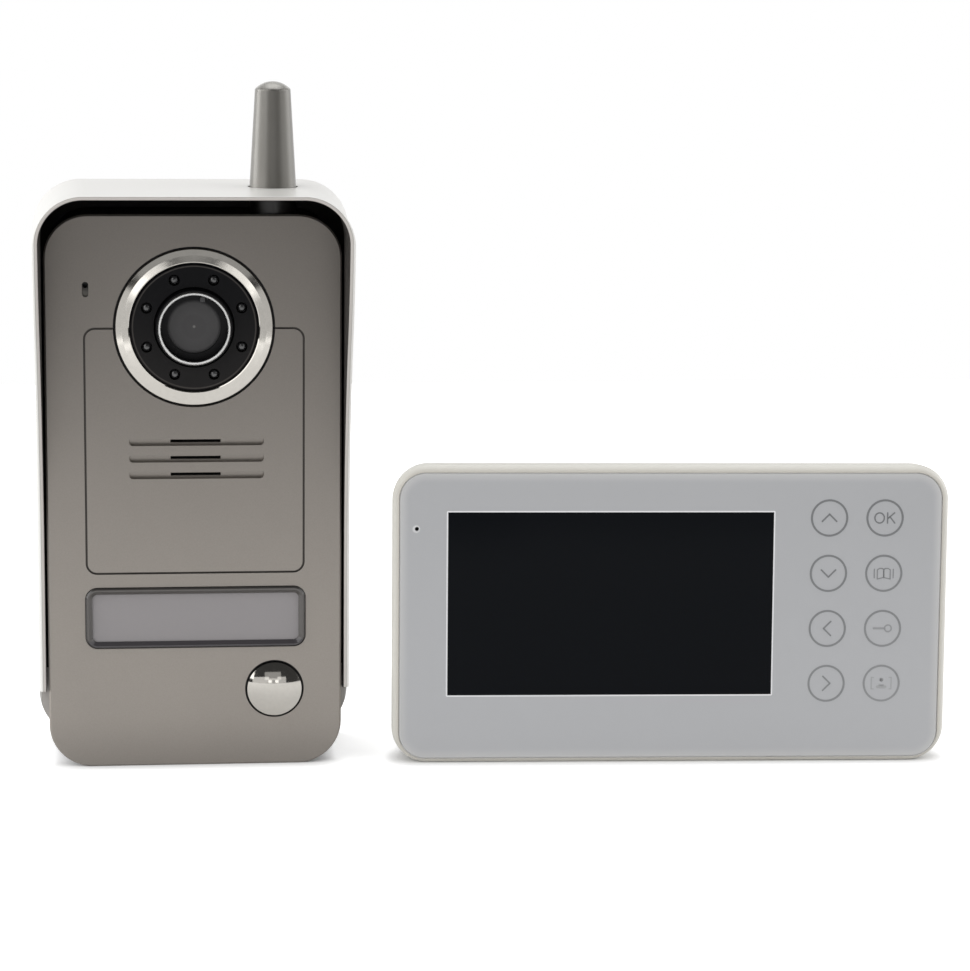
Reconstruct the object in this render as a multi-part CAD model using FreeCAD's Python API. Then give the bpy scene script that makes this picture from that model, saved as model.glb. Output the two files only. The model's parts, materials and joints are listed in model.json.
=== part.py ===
import FreeCAD, Part

import math
import os

from FreeCAD import Placement, Rotation, Vector

# Video intercom for a house: an outdoor door station under a rain hood, and an indoor monitor.
# Millimetres. X runs to the viewer's right, Y runs away from the viewer, Z runs up.
# The door station stands square to the axes and faces -Y. The monitor stands beside it,
# turned a little towards the middle, and leans back on its slanted bottom face.

# Face panel of the door station
panel_width = 84.2
panel_height = 160.1
panel_corner = 12.5
panel_thick = 2.0
panel_bevel = 0.5

# Groove line that frames the lower field of the panel
line_left = -31.2
line_right = 31.5
line_low = 56.7
line_high = 128.1
line_corner = 3.3
line_width = 0.6
line_depth = 0.9

# Sound grooves in front of the door speaker
sound_left = -18.5
sound_right = 19.8
sound_low = 84.45
sound_pitch = 4.8
sound_count = 3
sound_height = 2.1
sound_depth = 1.05
sound_top_depth = 0.15
slit_left = -6.8
slit_right = 7.5
slit_height = 0.95
slit_drop = 0.3

# Microphone slot
mic_x = -30.45
mic_low = 136.8
mic_high = 141.1
mic_slot_width = 1.8
mic_slot_depth = 1.2
mic_hole_radius = 0.7
mic_capsule_radius = 3.0
mic_capsule_depth = 3.5
mic_boot_wall = 1.0

# Camera
camera_x = 0.15
camera_z = 128.1
camera_hole_radius = 22.95
camera_ring_radius = 22.4
camera_ring_bore = 18.45
camera_ring_proud = 0.5
camera_ring_slope = 1.9
camera_ring_edge = 0.2
camera_cup_wall = 1.6
camera_cup_flange = 2.6
camera_cup_flange_thick = 1.4
camera_cup_end = 14.0
cover_proud = 0.4
cover_thick = 1.9
cover_gap = 0.2
cover_bevel = 0.5
led_circle_radius = 14.55
led_count = 8
led_radius = 1.5
led_hole_gap = 0.1
led_flange_radius = 1.9
led_recess = 0.3
board_thick = 1.2
shroud_radius = 11.4
shroud_nose_radius = 10.75
shroud_proud = 2.8
shroud_gap = 0.1
lens_ring_radius = 10.35
lens_ring_bore = 9.5
lens_ring_thick = 0.9
shroud_ledge_y = 0.9
window_radius = 7.6
window_thick = 1.0
window_ledge = 0.8
lens_radius = 3.6
lens_nose_radius = 2.4
lens_front_y = 3.2
lens_holder_size = 12.0
camera_board_size = 25.5
sensor_size = 1.3
sensor_tall = 0.8
sensor_circle_radius = 8.2
sensor_angle = 17.0

# Name window
name_left = -31.35
name_right = 31.65
name_low = 35.0
name_high = 52.75
name_corner = 3.4
name_rim = 1.9
name_slope = 1.0
name_proud = 0.9
name_clear_thick = 1.2
name_gap = 0.15
card_thick = 0.3
lamp_board_thick = 1.0
lamp_board_height = 12.0
lamp_count = 4
lamp_tall = 1.4
lamp_size = 3.0
lamp_pocket = 3.4

# Call button
button_x = 22.75
button_z = 22.4
button_hole_radius = 8.35
button_radius = 7.85
button_dome = 1.7
button_proud = 0.5
button_skirt_thick = 1.2
button_stem_radius = 2.4
button_barb = 0.5
button_travel = 1.2
bush_gap = 0.06
bush_wall = 1.6
bush_length = 6.0
bush_floor = 1.6
spring_wire = 0.35
spring_turns = 3
switch_size = 6.0
switch_tall = 3.5
switch_pin_radius = 1.7
switch_pin_tall = 1.5
button_post_across = 8.3
button_post_up = 5.3
button_post_radius = 2.0
button_pin_radius = 0.9

# Body shell and rear cover of the door station
body_inset = 0.8
body_base_gap = 0.2
body_wall = 2.0
body_depth = 28.9
cover_plate_thick = 2.0
cover_lip_tall = 2.0
cover_lip_wall = 1.2
cover_lip_gap = 0.15
boss_radius = 3.2
cover_screw_radius = 1.3
cover_screw_head_radius = 2.5
cover_screw_head = 1.2
cover_screw_length = 9.0
screw_gap = 0.1
cover_screw_inset = 8.5

# Rain hood
hood_wall = 1.6
hood_side_gap = 0.7
hood_top_inside = 166.2
hood_top_wall = 1.1
hood_corner_outside = 14.0
hood_plate_thick = 1.6
hood_plate_corner = 14.6
hood_flare = 1.6
hood_flare_start = 3.0
hood_straight_top = 60.0
hood_sweep_radius = 150.0
hood_sweep_angle = 27.0
hood_crown_radius = 80.0
hood_wall_end_front = 22.5
hood_wall_end_back = 14.6
hood_rim_round = 0.5
lip_half_width = 8.0
lip_thick = 1.6
lip_reach = 11.0
lock_screw_radius = 1.5
lock_screw_head_radius = 2.9
lock_screw_length = 7.5
stud_x = 22.0
stud_z = 104.0
stud_radius = 2.0
stud_head_radius = 3.6
stud_head_thick = 1.4
stud_neck_gap = 0.3
keyhole_drop = 9.0
wall_hole_x = 30.0
wall_hole_low = 34.0
wall_hole_high = 144.0
wall_hole_radius = 2.1
wall_head_radius = 4.2
wall_head_depth = 1.2

# Cable inlet
cable_z = 72.0
grommet_bore = 3.2
grommet_radius = 6.0
grommet_flange_radius = 7.4
grommet_flange_thick = 1.2
plate_hole_radius = 8.2

# Aerial of the door station
aerial_x = 22.85
aerial_y = 9.0
aerial_base_radius = 6.7
aerial_base_top = 166.4
aerial_tip_radius = 5.05
aerial_tip_height = 2.2
aerial_tip_round = 0.8
aerial_top = 197.1
aerial_hole_gap = 0.45
aerial_neck_radius = 3.4
aerial_neck_length = 7.5
aerial_bore = 2.6
aerial_rod_radius = 0.9
aerial_rod_below = 5.8
aerial_rod_cover = 4.9
aerial_nut_size = 4.7
aerial_nut_thick = 3.2

# Inside the door station
speaker_x = 0.5
speaker_z = 90.0
speaker_radius = 14.0
speaker_rim = 1.6
speaker_depth = 6.5
speaker_magnet_radius = 8.0
cloth_thick = 0.4
cloth_radius = 13.6
board_width = 66.0
board_low = 30.0
board_high = 108.0
board_clear = 2.2
board_post_radius = 2.6
board_screw_radius = 1.0
board_screw_head_radius = 1.9
board_screw_head = 1.2
board_screw_length = 6.0
board_screw_inset = 4.0
radio_width = 24.0
radio_height = 26.0
radio_tall = 3.0
relay_width = 15.5
relay_height = 19.0
relay_tall = 9.0
terminal_poles = 4
terminal_pitch = 5.0
terminal_height = 8.0
terminal_tall = 9.5
terminal_screw_radius = 1.7

# Monitor: place and stance
monitor_x = 138.0
monitor_y = -6.7
monitor_turn = 2.84
monitor_lean = 3.08

# Monitor: housing
housing_rim = 2.2
housing_rim_top = 2.5
housing_corner = 10.4
foot_cut = 0.05
housing_round = 2.2
housing_wall = 1.8
front_depth = 8.0
rear_depth = 10.0
rear_taper = 4.0
rear_corner = 8.0
rear_round = 1.8
glass_low = 1.4
glass_corner = 7.7
glass_thick = 1.2
glass_gap = 0.1
glass_bevel = 0.35
ledge_width = 2.4
ledge_thick = 1.2

# Monitor: screen, touch keys and microphone
screen_margin = 14.1
screen_margin_low = 18.7
screen_margin_top = 11.49
screen_width = 95.04
screen_height = 53.86
screen_border = 5.2
screen_border_top = 4.6
screen_border_low = 8.7
lcd_thick = 1.6
lcd_can_thick = 1.4
lcd_can_wall = 0.4
key_gap = 16.29
key_margin = 16.84
key_drop = 13.19
key_pitch = 16.33
key_rows = 4
key_columns = 2
key_radius = 5.5
key_line = 0.6
key_print_thick = 0.06
key_board_margin = 8.0
key_board_thick = 0.8
mini_mic_inset = 5.06
mini_mic_drop = 16.35
mini_mic_hole = 0.6
mini_mic_radius = 1.6
mini_mic_tall = 1.4

# Monitor: inside
main_width = 120.0
main_low = 10.0
main_drop = 9.9
main_y = 6.0
main_thick = 1.2
main_post_radius = 2.6
main_screw_inset = 4.0
can_left = -2.0
can_low = 26.0
can_width = 26.0
can_height = 20.0
can_tall = 1.6
chip_size = 14.0
chip_tall = 1.2
small_speaker_inset = 29.25
small_speaker_z = 46.0
small_speaker_radius = 13.0
small_speaker_depth = 4.4
battery_width = 33.0
battery_height = 49.0
battery_thick = 5.6
battery_gap = 0.6
battery_inset = 27.25
battery_z = 43.0
tray_wall = 1.2
door_thick = 1.6
door_lap = 2.0
door_gap = 0.2
door_travel = 4.0
jack_z = 24.0
jack_bore = 1.85
jack_nose_radius = 3.0
jack_body = 9.0
jack_length = 12.0
jack_sunk = 2.2
knob_x = 47.0
knob_z = 20.0
knob_length = 4.0
knob_height = 3.2
knob_travel = 2.5
knob_gap = 0.2
knob_proud = 0.5
slider_length = 10.0
slider_height = 6.0
slider_tall = 3.4
hang_x = 22.0
hang_drop = 12.4
hang_radius = 3.5
hang_slot_radius = 1.8
hang_slot_rise = 4.6
hang_pocket_depth = 4.6
housing_screw_inset = 9.25
housing_screw_low = 8.5
housing_screw_drop = 11.4
housing_boss_radius = 3.0
housing_screw_radius = 1.1
housing_screw_head_radius = 2.1
housing_screw_head = 1.4
housing_screw_length = 10.6

# Monitor: fold-out stand
stand_width = 50.0
stand_low = 14.0
stand_pivot_z = 58.0
stand_thick = 2.2
stand_gap = 0.5
stand_recess = 3.4
stand_recess_wall = 1.3
stand_barrel_radius = 1.5
stand_pin_radius = 0.75
stand_pin_gap = 0.05
stand_pin_sink = 1.0
stand_sunk = 0.2
stand_notch_width = 20.0
stand_notch_tall = 4.5
stand_foot_round = 5.0
stand_rib_depth = 0.6
stand_rib_width = 2.0


def block(x0, x1, y0, y1, z0, z1):
    """A box between two corners."""
    return Part.makeBox(x1 - x0, y1 - y0, z1 - z0, Vector(x0, y0, z0))


def bar(radius, y0, y1, x, z):
    """A round bar that runs front to back."""
    return Part.makeCylinder(radius, y1 - y0, Vector(x, y0, z), Vector(0, 1, 0))


def tube(outer, inner, y0, y1, x, z):
    """A round tube that runs front to back."""
    return bar(outer, y0, y1, x, z).cut(bar(inner, y0 - 1, y1 + 1, x, z))


def outline(x0, x1, z0, z1, y, top_radius, low_radius=None):
    """A closed upright rectangle with round corners, at depth y."""
    low = top_radius if low_radius is None else low_radius
    corners = [
        (x1 - low, z0 + low, low, 270),
        (x1 - top_radius, z1 - top_radius, top_radius, 0),
        (x0 + top_radius, z1 - top_radius, top_radius, 90),
        (x0 + low, z0 + low, low, 180),
    ]
    arcs = []
    for cx, cz, radius, start in corners:
        points = []
        for turn in (0, 45, 90):
            a = math.radians(start + turn)
            points.append(Vector(cx + radius * math.cos(a), y, cz + radius * math.sin(a)))
        arcs.append(points)
    edges = []
    for i, points in enumerate(arcs):
        edges.append(Part.Arc(*points).toShape())
        following = arcs[(i + 1) % len(arcs)]
        edges.append(Part.makeLine(points[2], following[0]))
    return Part.Wire(edges)


def slab(x0, x1, z0, z1, y0, y1, top_radius, low_radius=None):
    """An upright plate with round corners."""
    face = Part.Face(outline(x0, x1, z0, z1, y0, top_radius, low_radius))
    return face.extrude(Vector(0, y1 - y0, 0))


def loft(*wires):
    """A solid with straight walls through the wires."""
    return Part.makeLoft(list(wires), True, True)


def turned(profile, x, z):
    """A solid of revolution about a front to back axis, from (radius, y) points."""
    points = [Vector(x + radius, y, z) for radius, y in profile]
    face = Part.Face(Part.makePolygon(points + points[:1]))
    return face.revolve(Vector(x, 0, z), Vector(0, 1, 0), 360)


def joined(first, *others):
    """One solid from pieces that share material."""
    shape = first
    for other in others:
        shape = shape.fuse(other)
    return shape.removeSplitter()


def group(shapes):
    """Separate solids kept together in one node."""
    return Part.makeCompound(list(shapes))


def edges_near(shape, test):
    """The edges whose middle point passes a test."""
    chosen = []
    for edge in shape.Edges:
        middle = edge.valueAt((edge.FirstParameter + edge.LastParameter) / 2)
        if test(middle, edge):
            chosen.append(edge)
    return chosen


def front_screw(x, z, head_y, radius, length, head_radius, head_thick):
    """A pan head screw driven from the back, with its head behind head_y."""
    shank = bar(radius, head_y - length, head_y, x, z)
    head = bar(head_radius, head_y, head_y + head_thick, x, z)
    slot = block(x - head_radius, x + head_radius, head_y + head_thick * 0.55,
                 head_y + head_thick + 1, z - 0.3, z + 0.3)
    return joined(shank, head).cut(slot)


nodes = {}
half_panel = panel_width / 2
panel_back = panel_thick
shell_half = half_panel - body_inset
shell_low = lip_thick + body_base_gap
shell_high = panel_height - body_inset
shell_corner = panel_corner - body_inset
shell_front_back = panel_back + body_wall
shell_back = panel_back + body_depth
cover_back = shell_back + cover_plate_thick
plate_back = cover_back + hood_plate_thick
board_y = shell_back - board_clear - max(terminal_tall, relay_tall) - board_thick
hood_inner_half = half_panel + hood_side_gap
hood_outer_half = hood_inner_half + hood_wall
hood_top = hood_top_inside + hood_top_wall


# Face panel

def rounded_line_frame():
    """The thin groove that frames the lower field."""
    outer = slab(line_left, line_right, line_low, line_high, -1, line_depth, line_corner)
    inner = slab(line_left + line_width, line_right - line_width, line_low + line_width,
                 line_high - line_width, -2, line_depth + 1, line_corner - line_width)
    return outer.cut(inner)


def sound_groove(low):
    """One groove, shallow along its top edge and deepest along its lower edge."""
    high = low + sound_height
    radius = sound_height / 2
    pocket = slab(sound_left, sound_right, low, high, -1, sound_depth, 0.2, radius)
    slope = [Vector(sound_left - 1, sound_top_depth, high), Vector(sound_left - 1, sound_depth, low),
             Vector(sound_left - 1, sound_depth + 1, low), Vector(sound_left - 1, sound_depth + 1, high)]
    floor = Part.Face(Part.makePolygon(slope + slope[:1]))
    return pocket.cut(floor.extrude(Vector(sound_right - sound_left + 2, 0, 0)))


def sound_slit(low):
    """The through slit just below the top edge of a groove."""
    high = low + sound_height - slit_drop
    return block(slit_left, slit_right, -1, shell_front_back + 1, high - slit_height, high)


panel = slab(-half_panel, half_panel, 0, panel_height, 0, panel_back, panel_corner)
front_rim = edges_near(panel, lambda p, e: abs(p.y) < 0.01)
panel = panel.makeChamfer(panel_bevel, front_rim)
panel = panel.cut(rounded_line_frame())
panel = panel.cut(bar(camera_hole_radius, -1, panel_back + 1, camera_x, camera_z))
panel = panel.cut(bar(button_hole_radius, -1, panel_back + 1, button_x, button_z))
panel = panel.cut(slab(name_left - name_gap, name_right + name_gap, name_low - name_gap,
                       name_high + name_gap, -1, panel_back + 1, name_corner + name_gap))
grooves = [sound_low + i * sound_pitch for i in range(sound_count)]
for low in grooves:
    panel = panel.cut(sound_groove(low))
    panel = panel.cut(sound_slit(low))
half_slot = mic_slot_width / 2
mic_hole_z = mic_high - half_slot - 0.3
panel = panel.cut(slab(mic_x - half_slot, mic_x + half_slot, mic_low, mic_high, -1,
                       mic_slot_depth, half_slot - 0.05))
panel = panel.cut(bar(mic_hole_radius, -1, panel_back + 1, mic_x, mic_hole_z))
nodes["face_panel"] = panel


# Camera ring, lamp cover, lens shroud and what stands behind them

cup_outer = camera_ring_bore - 0.1
cup_inner = cup_outer - camera_cup_wall
cover_radius = camera_ring_bore - cover_gap
cover_y0 = -cover_proud
cover_y1 = cover_y0 + cover_thick
shell_camera_hole = cup_outer + 0.1
nodes["camera_ring"] = turned([
    (camera_ring_bore, panel_back), (camera_ring_radius, panel_back),
    (camera_ring_radius, camera_ring_edge), (camera_ring_radius - 0.25, -camera_ring_edge),
    (camera_ring_radius - camera_ring_slope, -camera_ring_proud * 0.75),
    (camera_ring_bore + 0.25, -camera_ring_proud),
    (camera_ring_bore, -camera_ring_proud + 0.15)], camera_x, camera_z)

led_places = []
for i in range(led_count):
    angle = math.radians(360.0 / led_count * (i + 0.5))
    led_places.append((camera_x + led_circle_radius * math.cos(angle),
                       camera_z + led_circle_radius * math.sin(angle)))

lamp_cover = turned([
    (shroud_radius + shroud_gap, cover_y0), (cover_radius - cover_bevel, cover_y0),
    (cover_radius, cover_y0 + cover_bevel), (cover_radius, cover_y1),
    (shroud_radius + shroud_gap, cover_y1)], camera_x, camera_z)
for x, z in led_places:
    lamp_cover = lamp_cover.cut(bar(led_radius + led_hole_gap, -5, 5, x, z))
nodes["lamp_cover"] = lamp_cover

led_board_y0 = cover_y1 + 3.0
led_board_y1 = led_board_y0 + board_thick


def led(x, z):
    """A small infrared lamp with a domed nose and a base flange."""
    nose = cover_y0 + led_recess
    ball = Part.makeSphere(led_radius, Vector(x, nose + led_radius, z))
    body = bar(led_radius, nose + led_radius, led_board_y0, x, z)
    flange = bar(led_flange_radius, led_board_y0 - 1.0, led_board_y0, x, z)
    return joined(ball, body, flange)


nodes["infrared_lamps"] = group(led(x, z) for x, z in led_places)

shroud_bore = window_radius
nodes["lamp_board"] = tube(cup_inner - 0.1, shroud_bore + 0.4, led_board_y0, led_board_y1,
                           camera_x, camera_z)

flange_y1 = shell_front_back + camera_cup_flange_thick
nodes["camera_cup"] = turned([
    (cup_inner, cover_y1), (cup_outer, cover_y1), (cup_outer, shell_front_back),
    (cup_outer + camera_cup_flange, shell_front_back), (cup_outer + camera_cup_flange, flange_y1),
    (cup_outer, flange_y1), (cup_outer, camera_cup_end), (cup_inner - 4.0, camera_cup_end),
    (cup_inner - 4.0, led_board_y1), (cup_inner, led_board_y1)], camera_x, camera_z)

window_y0 = shroud_ledge_y + 0.7
window_y1 = window_y0 + window_thick
nodes["lens_shroud"] = turned([
    (lens_ring_bore - 0.05, -shroud_proud), (shroud_nose_radius, -shroud_proud),
    (shroud_radius, cover_y1), (shroud_radius, led_board_y0),
    (window_radius - window_ledge, led_board_y0), (window_radius - window_ledge, window_y1),
    (window_radius + 0.05, window_y1), (window_radius + 0.05, shroud_ledge_y),
    (lens_ring_bore - 0.05, shroud_ledge_y)], camera_x, camera_z)
nodes["lens_ring"] = turned([
    (lens_ring_bore, -shroud_proud), (lens_ring_radius, -shroud_proud),
    (lens_ring_radius, -shroud_proud - lens_ring_thick + 0.25),
    (lens_ring_radius - 0.25, -shroud_proud - lens_ring_thick),
    (lens_ring_bore + 0.15, -shroud_proud - lens_ring_thick),
    (lens_ring_bore, -shroud_proud - lens_ring_thick + 0.15)], camera_x, camera_z)
nodes["lens_window"] = bar(window_radius, window_y0, window_y1, camera_x, camera_z)

sensor_turn = math.radians(90 - sensor_angle)
sensor_x = camera_x + sensor_circle_radius * math.cos(sensor_turn)
sensor_z = camera_z + sensor_circle_radius * math.sin(sensor_turn)
half_sensor = sensor_size / 2
nodes["light_sensor"] = block(sensor_x - half_sensor, sensor_x + half_sensor,
                              shroud_ledge_y - sensor_tall, shroud_ledge_y,
                              sensor_z - half_sensor, sensor_z + half_sensor)

half_holder = lens_holder_size / 2
holder_y0 = led_board_y1 + 1.0
lens_thread_end = holder_y0 + 2.6
nodes["lens_barrel"] = turned([
    (0.5, lens_front_y + 1.2), (0.5, lens_front_y + 0.4), (lens_nose_radius - 0.6, lens_front_y),
    (lens_nose_radius, lens_front_y), (lens_radius, lens_front_y + 1.2),
    (lens_radius, lens_thread_end), (1.2, lens_thread_end), (1.2, lens_front_y + 1.2)],
    camera_x, camera_z)
holder = block(camera_x - half_holder, camera_x + half_holder, holder_y0, camera_cup_end,
               camera_z - half_holder, camera_z + half_holder)
holder = holder.cut(bar(lens_radius + 0.05, holder_y0 - 1, lens_thread_end, camera_x, camera_z))
holder = holder.cut(block(camera_x - half_holder + 1.5, camera_x + half_holder - 1.5,
                          lens_thread_end, camera_cup_end + 1,
                          camera_z - half_holder + 1.5, camera_z + half_holder - 1.5))
nodes["lens_holder"] = holder
half_board = camera_board_size / 2
camera_board = block(camera_x - half_board, camera_x + half_board, camera_cup_end,
                     camera_cup_end + board_thick, camera_z - half_board, camera_z + half_board)
image_chip = block(camera_x - 3.4, camera_x + 3.4, camera_cup_end - 1.0, camera_cup_end,
                   camera_z - 3.0, camera_z + 3.0)
nodes["camera_board"] = joined(camera_board, image_chip)


# Name window, its card and the lamps behind it

def name_outline(inset, y):
    """The name window's outline, drawn in by an inset."""
    return outline(name_left + inset, name_right - inset, name_low + inset, name_high - inset,
                   y, max(name_corner - inset, 0.8))


def name_slab(inset, y0, y1):
    """A plate with the name window's outline."""
    return Part.Face(name_outline(inset, y0)).extrude(Vector(0, y1 - y0, 0))


name_floor = panel_back - name_clear_thick
frame_block = name_slab(0, -name_proud + name_slope * 0.5, panel_back)
frame_nose = loft(name_outline(0, -name_proud + name_slope * 0.5),
                  name_outline(name_slope * 0.5, -name_proud))
well = loft(name_outline(name_rim - name_slope, -name_proud - 0.01), name_outline(name_rim, 0.0))
well = well.fuse(name_slab(name_rim, 0.0, panel_back + 1))
nodes["name_frame"] = joined(frame_block, frame_nose).cut(well)
nodes["name_window"] = name_slab(name_rim, name_floor - card_thick, panel_back - card_thick)
nodes["name_card"] = name_slab(name_rim + 0.3, panel_back - card_thick, panel_back)

lamp_y1 = shell_front_back
lamp_y0 = lamp_y1 - lamp_tall
lamp_step = (name_right - name_left - 2 * name_rim) / lamp_count
name_mid_z = (name_low + name_high) / 2
lamp_places = [name_left + name_rim + lamp_step * (i + 0.5) for i in range(lamp_count)]
half_lamp = lamp_size / 2
name_lamp_board = block(name_left + name_rim, name_right - name_rim, lamp_y1,
                        lamp_y1 + lamp_board_thick, name_mid_z - lamp_board_height / 2,
                        name_mid_z + lamp_board_height / 2)
for x in lamp_places:
    name_lamp_board = name_lamp_board.fuse(block(x - half_lamp, x + half_lamp, lamp_y0, lamp_y1,
                                                 name_mid_z - half_lamp, name_mid_z + half_lamp))
nodes["name_lamp_board"] = name_lamp_board


# Call button, guide bush, return spring and switch

bush_radius = button_stem_radius + bush_gap + bush_wall
skirt_y0 = -button_proud
skirt_y1 = skirt_y0 + button_skirt_thick
bush_y0 = skirt_y1 + button_travel + 0.4
bush_y1 = bush_y0 + bush_length
stem_end = bush_y1 + 0.8
dome_radius = (button_radius ** 2 + button_dome ** 2) / (2 * button_dome)
dome_top = skirt_y0 - button_dome
dome_centre = Vector(button_x, dome_top + dome_radius, button_z)
dome = Part.makeSphere(dome_radius, dome_centre)
dome = dome.common(bar(button_radius, dome_top - 1, skirt_y0, button_x, button_z))
nodes["call_button"] = joined(
    dome, bar(button_radius, skirt_y0, skirt_y1, button_x, button_z),
    bar(button_stem_radius, skirt_y1, stem_end, button_x, button_z),
    bar(button_stem_radius + button_barb, bush_y1 + 0.1, stem_end, button_x, button_z))

spring_radius = bush_radius + 0.25 + spring_wire
seat_y = shell_front_back
nodes["button_bush"] = turned([
    (button_stem_radius + bush_gap, bush_y0), (bush_radius, bush_y0),
    (bush_radius, seat_y), (bush_radius + 2.6, seat_y), (bush_radius + 2.6, seat_y + bush_floor),
    (bush_radius, seat_y + bush_floor), (bush_radius, bush_y1),
    (button_stem_radius + bush_gap, bush_y1)], button_x, button_z)
spring_y0 = skirt_y1 + spring_wire
spring_rise = seat_y - skirt_y1 - 2 * spring_wire
helix = Part.makeLongHelix(spring_rise / spring_turns, spring_rise, spring_radius)
helix.Placement = Placement(Vector(button_x, spring_y0, button_z),
                            Rotation(Vector(1, 0, 0), -90))
spring_start = helix.Vertexes[0].Point
wire_circle = Part.Wire([Part.makeCircle(spring_wire, spring_start, Vector(0, 0, 1))])
nodes["button_spring"] = Part.Wire(helix.Edges).makePipeShell([wire_circle], True, True)

switch_top = stem_end + button_travel + 0.02
switch_y0 = switch_top + switch_pin_tall
switch_y1 = switch_y0 + switch_tall
half_switch = switch_size / 2
nodes["button_switch"] = joined(
    bar(switch_pin_radius, switch_top, switch_y0, button_x, button_z),
    block(button_x - half_switch, button_x + half_switch, switch_y0, switch_y1,
          button_z - half_switch, button_z + half_switch))


# Body shell

def shell_slab(inset, y0, y1):
    """A plate with the body's outline, drawn in by an inset."""
    return slab(-shell_half + inset, shell_half - inset, shell_low + inset, shell_high - inset,
                y0, y1, shell_corner - inset)


cover_screw_places = [(side * (shell_half - cover_screw_inset), z)
                      for z in (shell_low + cover_screw_inset, shell_high - cover_screw_inset)
                      for side in (-1, 1)]
board_screw_places = [(side * (board_width / 2 - board_screw_inset), z)
                      for z in (board_low + board_screw_inset, board_high - board_screw_inset)
                      for side in (-1, 1)]
button_board_y1 = switch_y1 + board_thick
button_post_places = [(button_x + across * button_post_across, button_z + up * button_post_up)
                      for across in (-1, 1) for up in (-1, 1)]
shell = shell_slab(0, panel_back, shell_back)
shell = shell.cut(shell_slab(body_wall, shell_front_back, shell_back + 1))
for x, z in cover_screw_places:
    shell = shell.fuse(bar(boss_radius, shell_front_back, shell_back - cover_lip_tall, x, z))
for x, z in board_screw_places:
    shell = shell.fuse(bar(board_post_radius, shell_front_back, board_y, x, z))
for x, z in button_post_places:
    shell = shell.fuse(bar(button_post_radius, shell_front_back, switch_y1, x, z))
    shell = shell.fuse(bar(button_pin_radius, switch_y1, button_board_y1 + 0.5, x, z))
lock_boss_y = cover_back - lip_reach / 2
lock_boss_y = min(lock_boss_y, shell_back - cover_lip_tall - lock_screw_radius - 1.6)
lock_length = lock_screw_length
shell = shell.fuse(block(-4, 4, lock_boss_y - 3.6, shell_back - cover_lip_tall,
                         shell_low + body_wall / 2, shell_low + body_wall + 5))
speaker_y0 = shell_front_back + cloth_thick
speaker_cup = tube(speaker_radius + 0.15 + 1.4, speaker_radius + 0.15, shell_front_back,
                   shell_front_back + 3.5, speaker_x, speaker_z)
shell = shell.fuse(speaker_cup)
mic_cup_radius = mic_capsule_radius + mic_boot_wall
shell = shell.fuse(tube(mic_cup_radius + 1.1, mic_cup_radius + 0.05, shell_front_back,
                        shell_front_back + 3.0, mic_x, mic_hole_z))
shell = shell.cut(bar(shell_camera_hole, panel_back - 1, shell_front_back + 1, camera_x, camera_z))
shell = shell.cut(bar(spring_radius + spring_wire + 0.35, panel_back - 1, shell_front_back + 1,
                      button_x, button_z))
shell = shell.cut(bar(mic_hole_radius, panel_back - 1, shell_front_back + 1, mic_x, mic_hole_z))
for low in grooves:
    shell = shell.cut(sound_slit(low))
for x in lamp_places:
    half_pocket = lamp_pocket / 2
    shell = shell.cut(block(x - half_pocket, x + half_pocket, panel_back - 1, shell_front_back + 1,
                            name_mid_z - half_pocket, name_mid_z + half_pocket))
for x, z in cover_screw_places:
    shell = shell.cut(bar(cover_screw_radius + screw_gap, shell_back - cover_screw_length - 1,
                          shell_back, x, z))
for x, z in board_screw_places:
    shell = shell.cut(bar(board_screw_radius + screw_gap, board_y - board_screw_length,
                          board_y, x, z))
shell = shell.cut(Part.makeCylinder(aerial_neck_radius + screw_gap, body_wall + 2,
                                    Vector(aerial_x, aerial_y, shell_high - body_wall - 1)))
shell = shell.cut(Part.makeCylinder(lock_screw_radius + screw_gap, lock_length + 1,
                                    Vector(0, lock_boss_y, shell_low - 1)))
nodes["body_shell"] = shell.removeSplitter()


# Rear cover with keyhole slots for the hood's studs

def keyhole(x, z, y0, y1, head, neck, rise):
    """A round entry hole with a narrower slot that rises from it."""
    entry = bar(head, y0, y1, x, z)
    end = bar(neck, y0, y1, x, z + rise)
    slot = block(x - neck, x + neck, y0, y1, z, z + rise)
    return entry.fuse(end).fuse(slot)


cover = shell_slab(0, shell_back, cover_back)
lip_outer = shell_slab(body_wall + cover_lip_gap, shell_back - cover_lip_tall, shell_back)
lip_inner = shell_slab(body_wall + cover_lip_gap + cover_lip_wall, shell_back - cover_lip_tall - 1,
                       shell_back)
cover = cover.fuse(lip_outer.cut(lip_inner))
for x, z in cover_screw_places:
    cover = cover.cut(bar(boss_radius + 0.3, shell_back - cover_lip_tall - 1, shell_back, x, z))
    cover = cover.fuse(bar(boss_radius, shell_back - cover_lip_tall, shell_back, x, z))
    cover = cover.cut(bar(cover_screw_radius + screw_gap, 0, cover_back + 1, x, z))
    cover = cover.cut(bar(cover_screw_head_radius + screw_gap, cover_back - cover_screw_head,
                          cover_back + 1, x, z))
for side in (-1, 1):
    cover = cover.cut(keyhole(side * stud_x, stud_z - keyhole_drop, shell_back - 1, cover_back + 1,
                              stud_head_radius + 0.4, stud_radius + 0.2, keyhole_drop))
    for z in (wall_hole_low, wall_hole_high):
        cover = cover.cut(bar(wall_head_radius, cover_back - wall_head_depth, cover_back + 1,
                              side * wall_hole_x, z))
cover = cover.cut(bar(grommet_radius + 0.05, shell_back - 1, cover_back + 1, 0, cable_z))
cover = cover.cut(block(-4.2, 4.2, lock_boss_y - 4, shell_back, 0, shell_low + body_wall + 5.2))
nodes["rear_cover"] = cover.removeSplitter()
nodes["cover_screws"] = group(
    front_screw(x, z, cover_back - cover_screw_head, cover_screw_radius, cover_screw_length,
                cover_screw_head_radius, cover_screw_head) for x, z in cover_screw_places)

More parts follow.
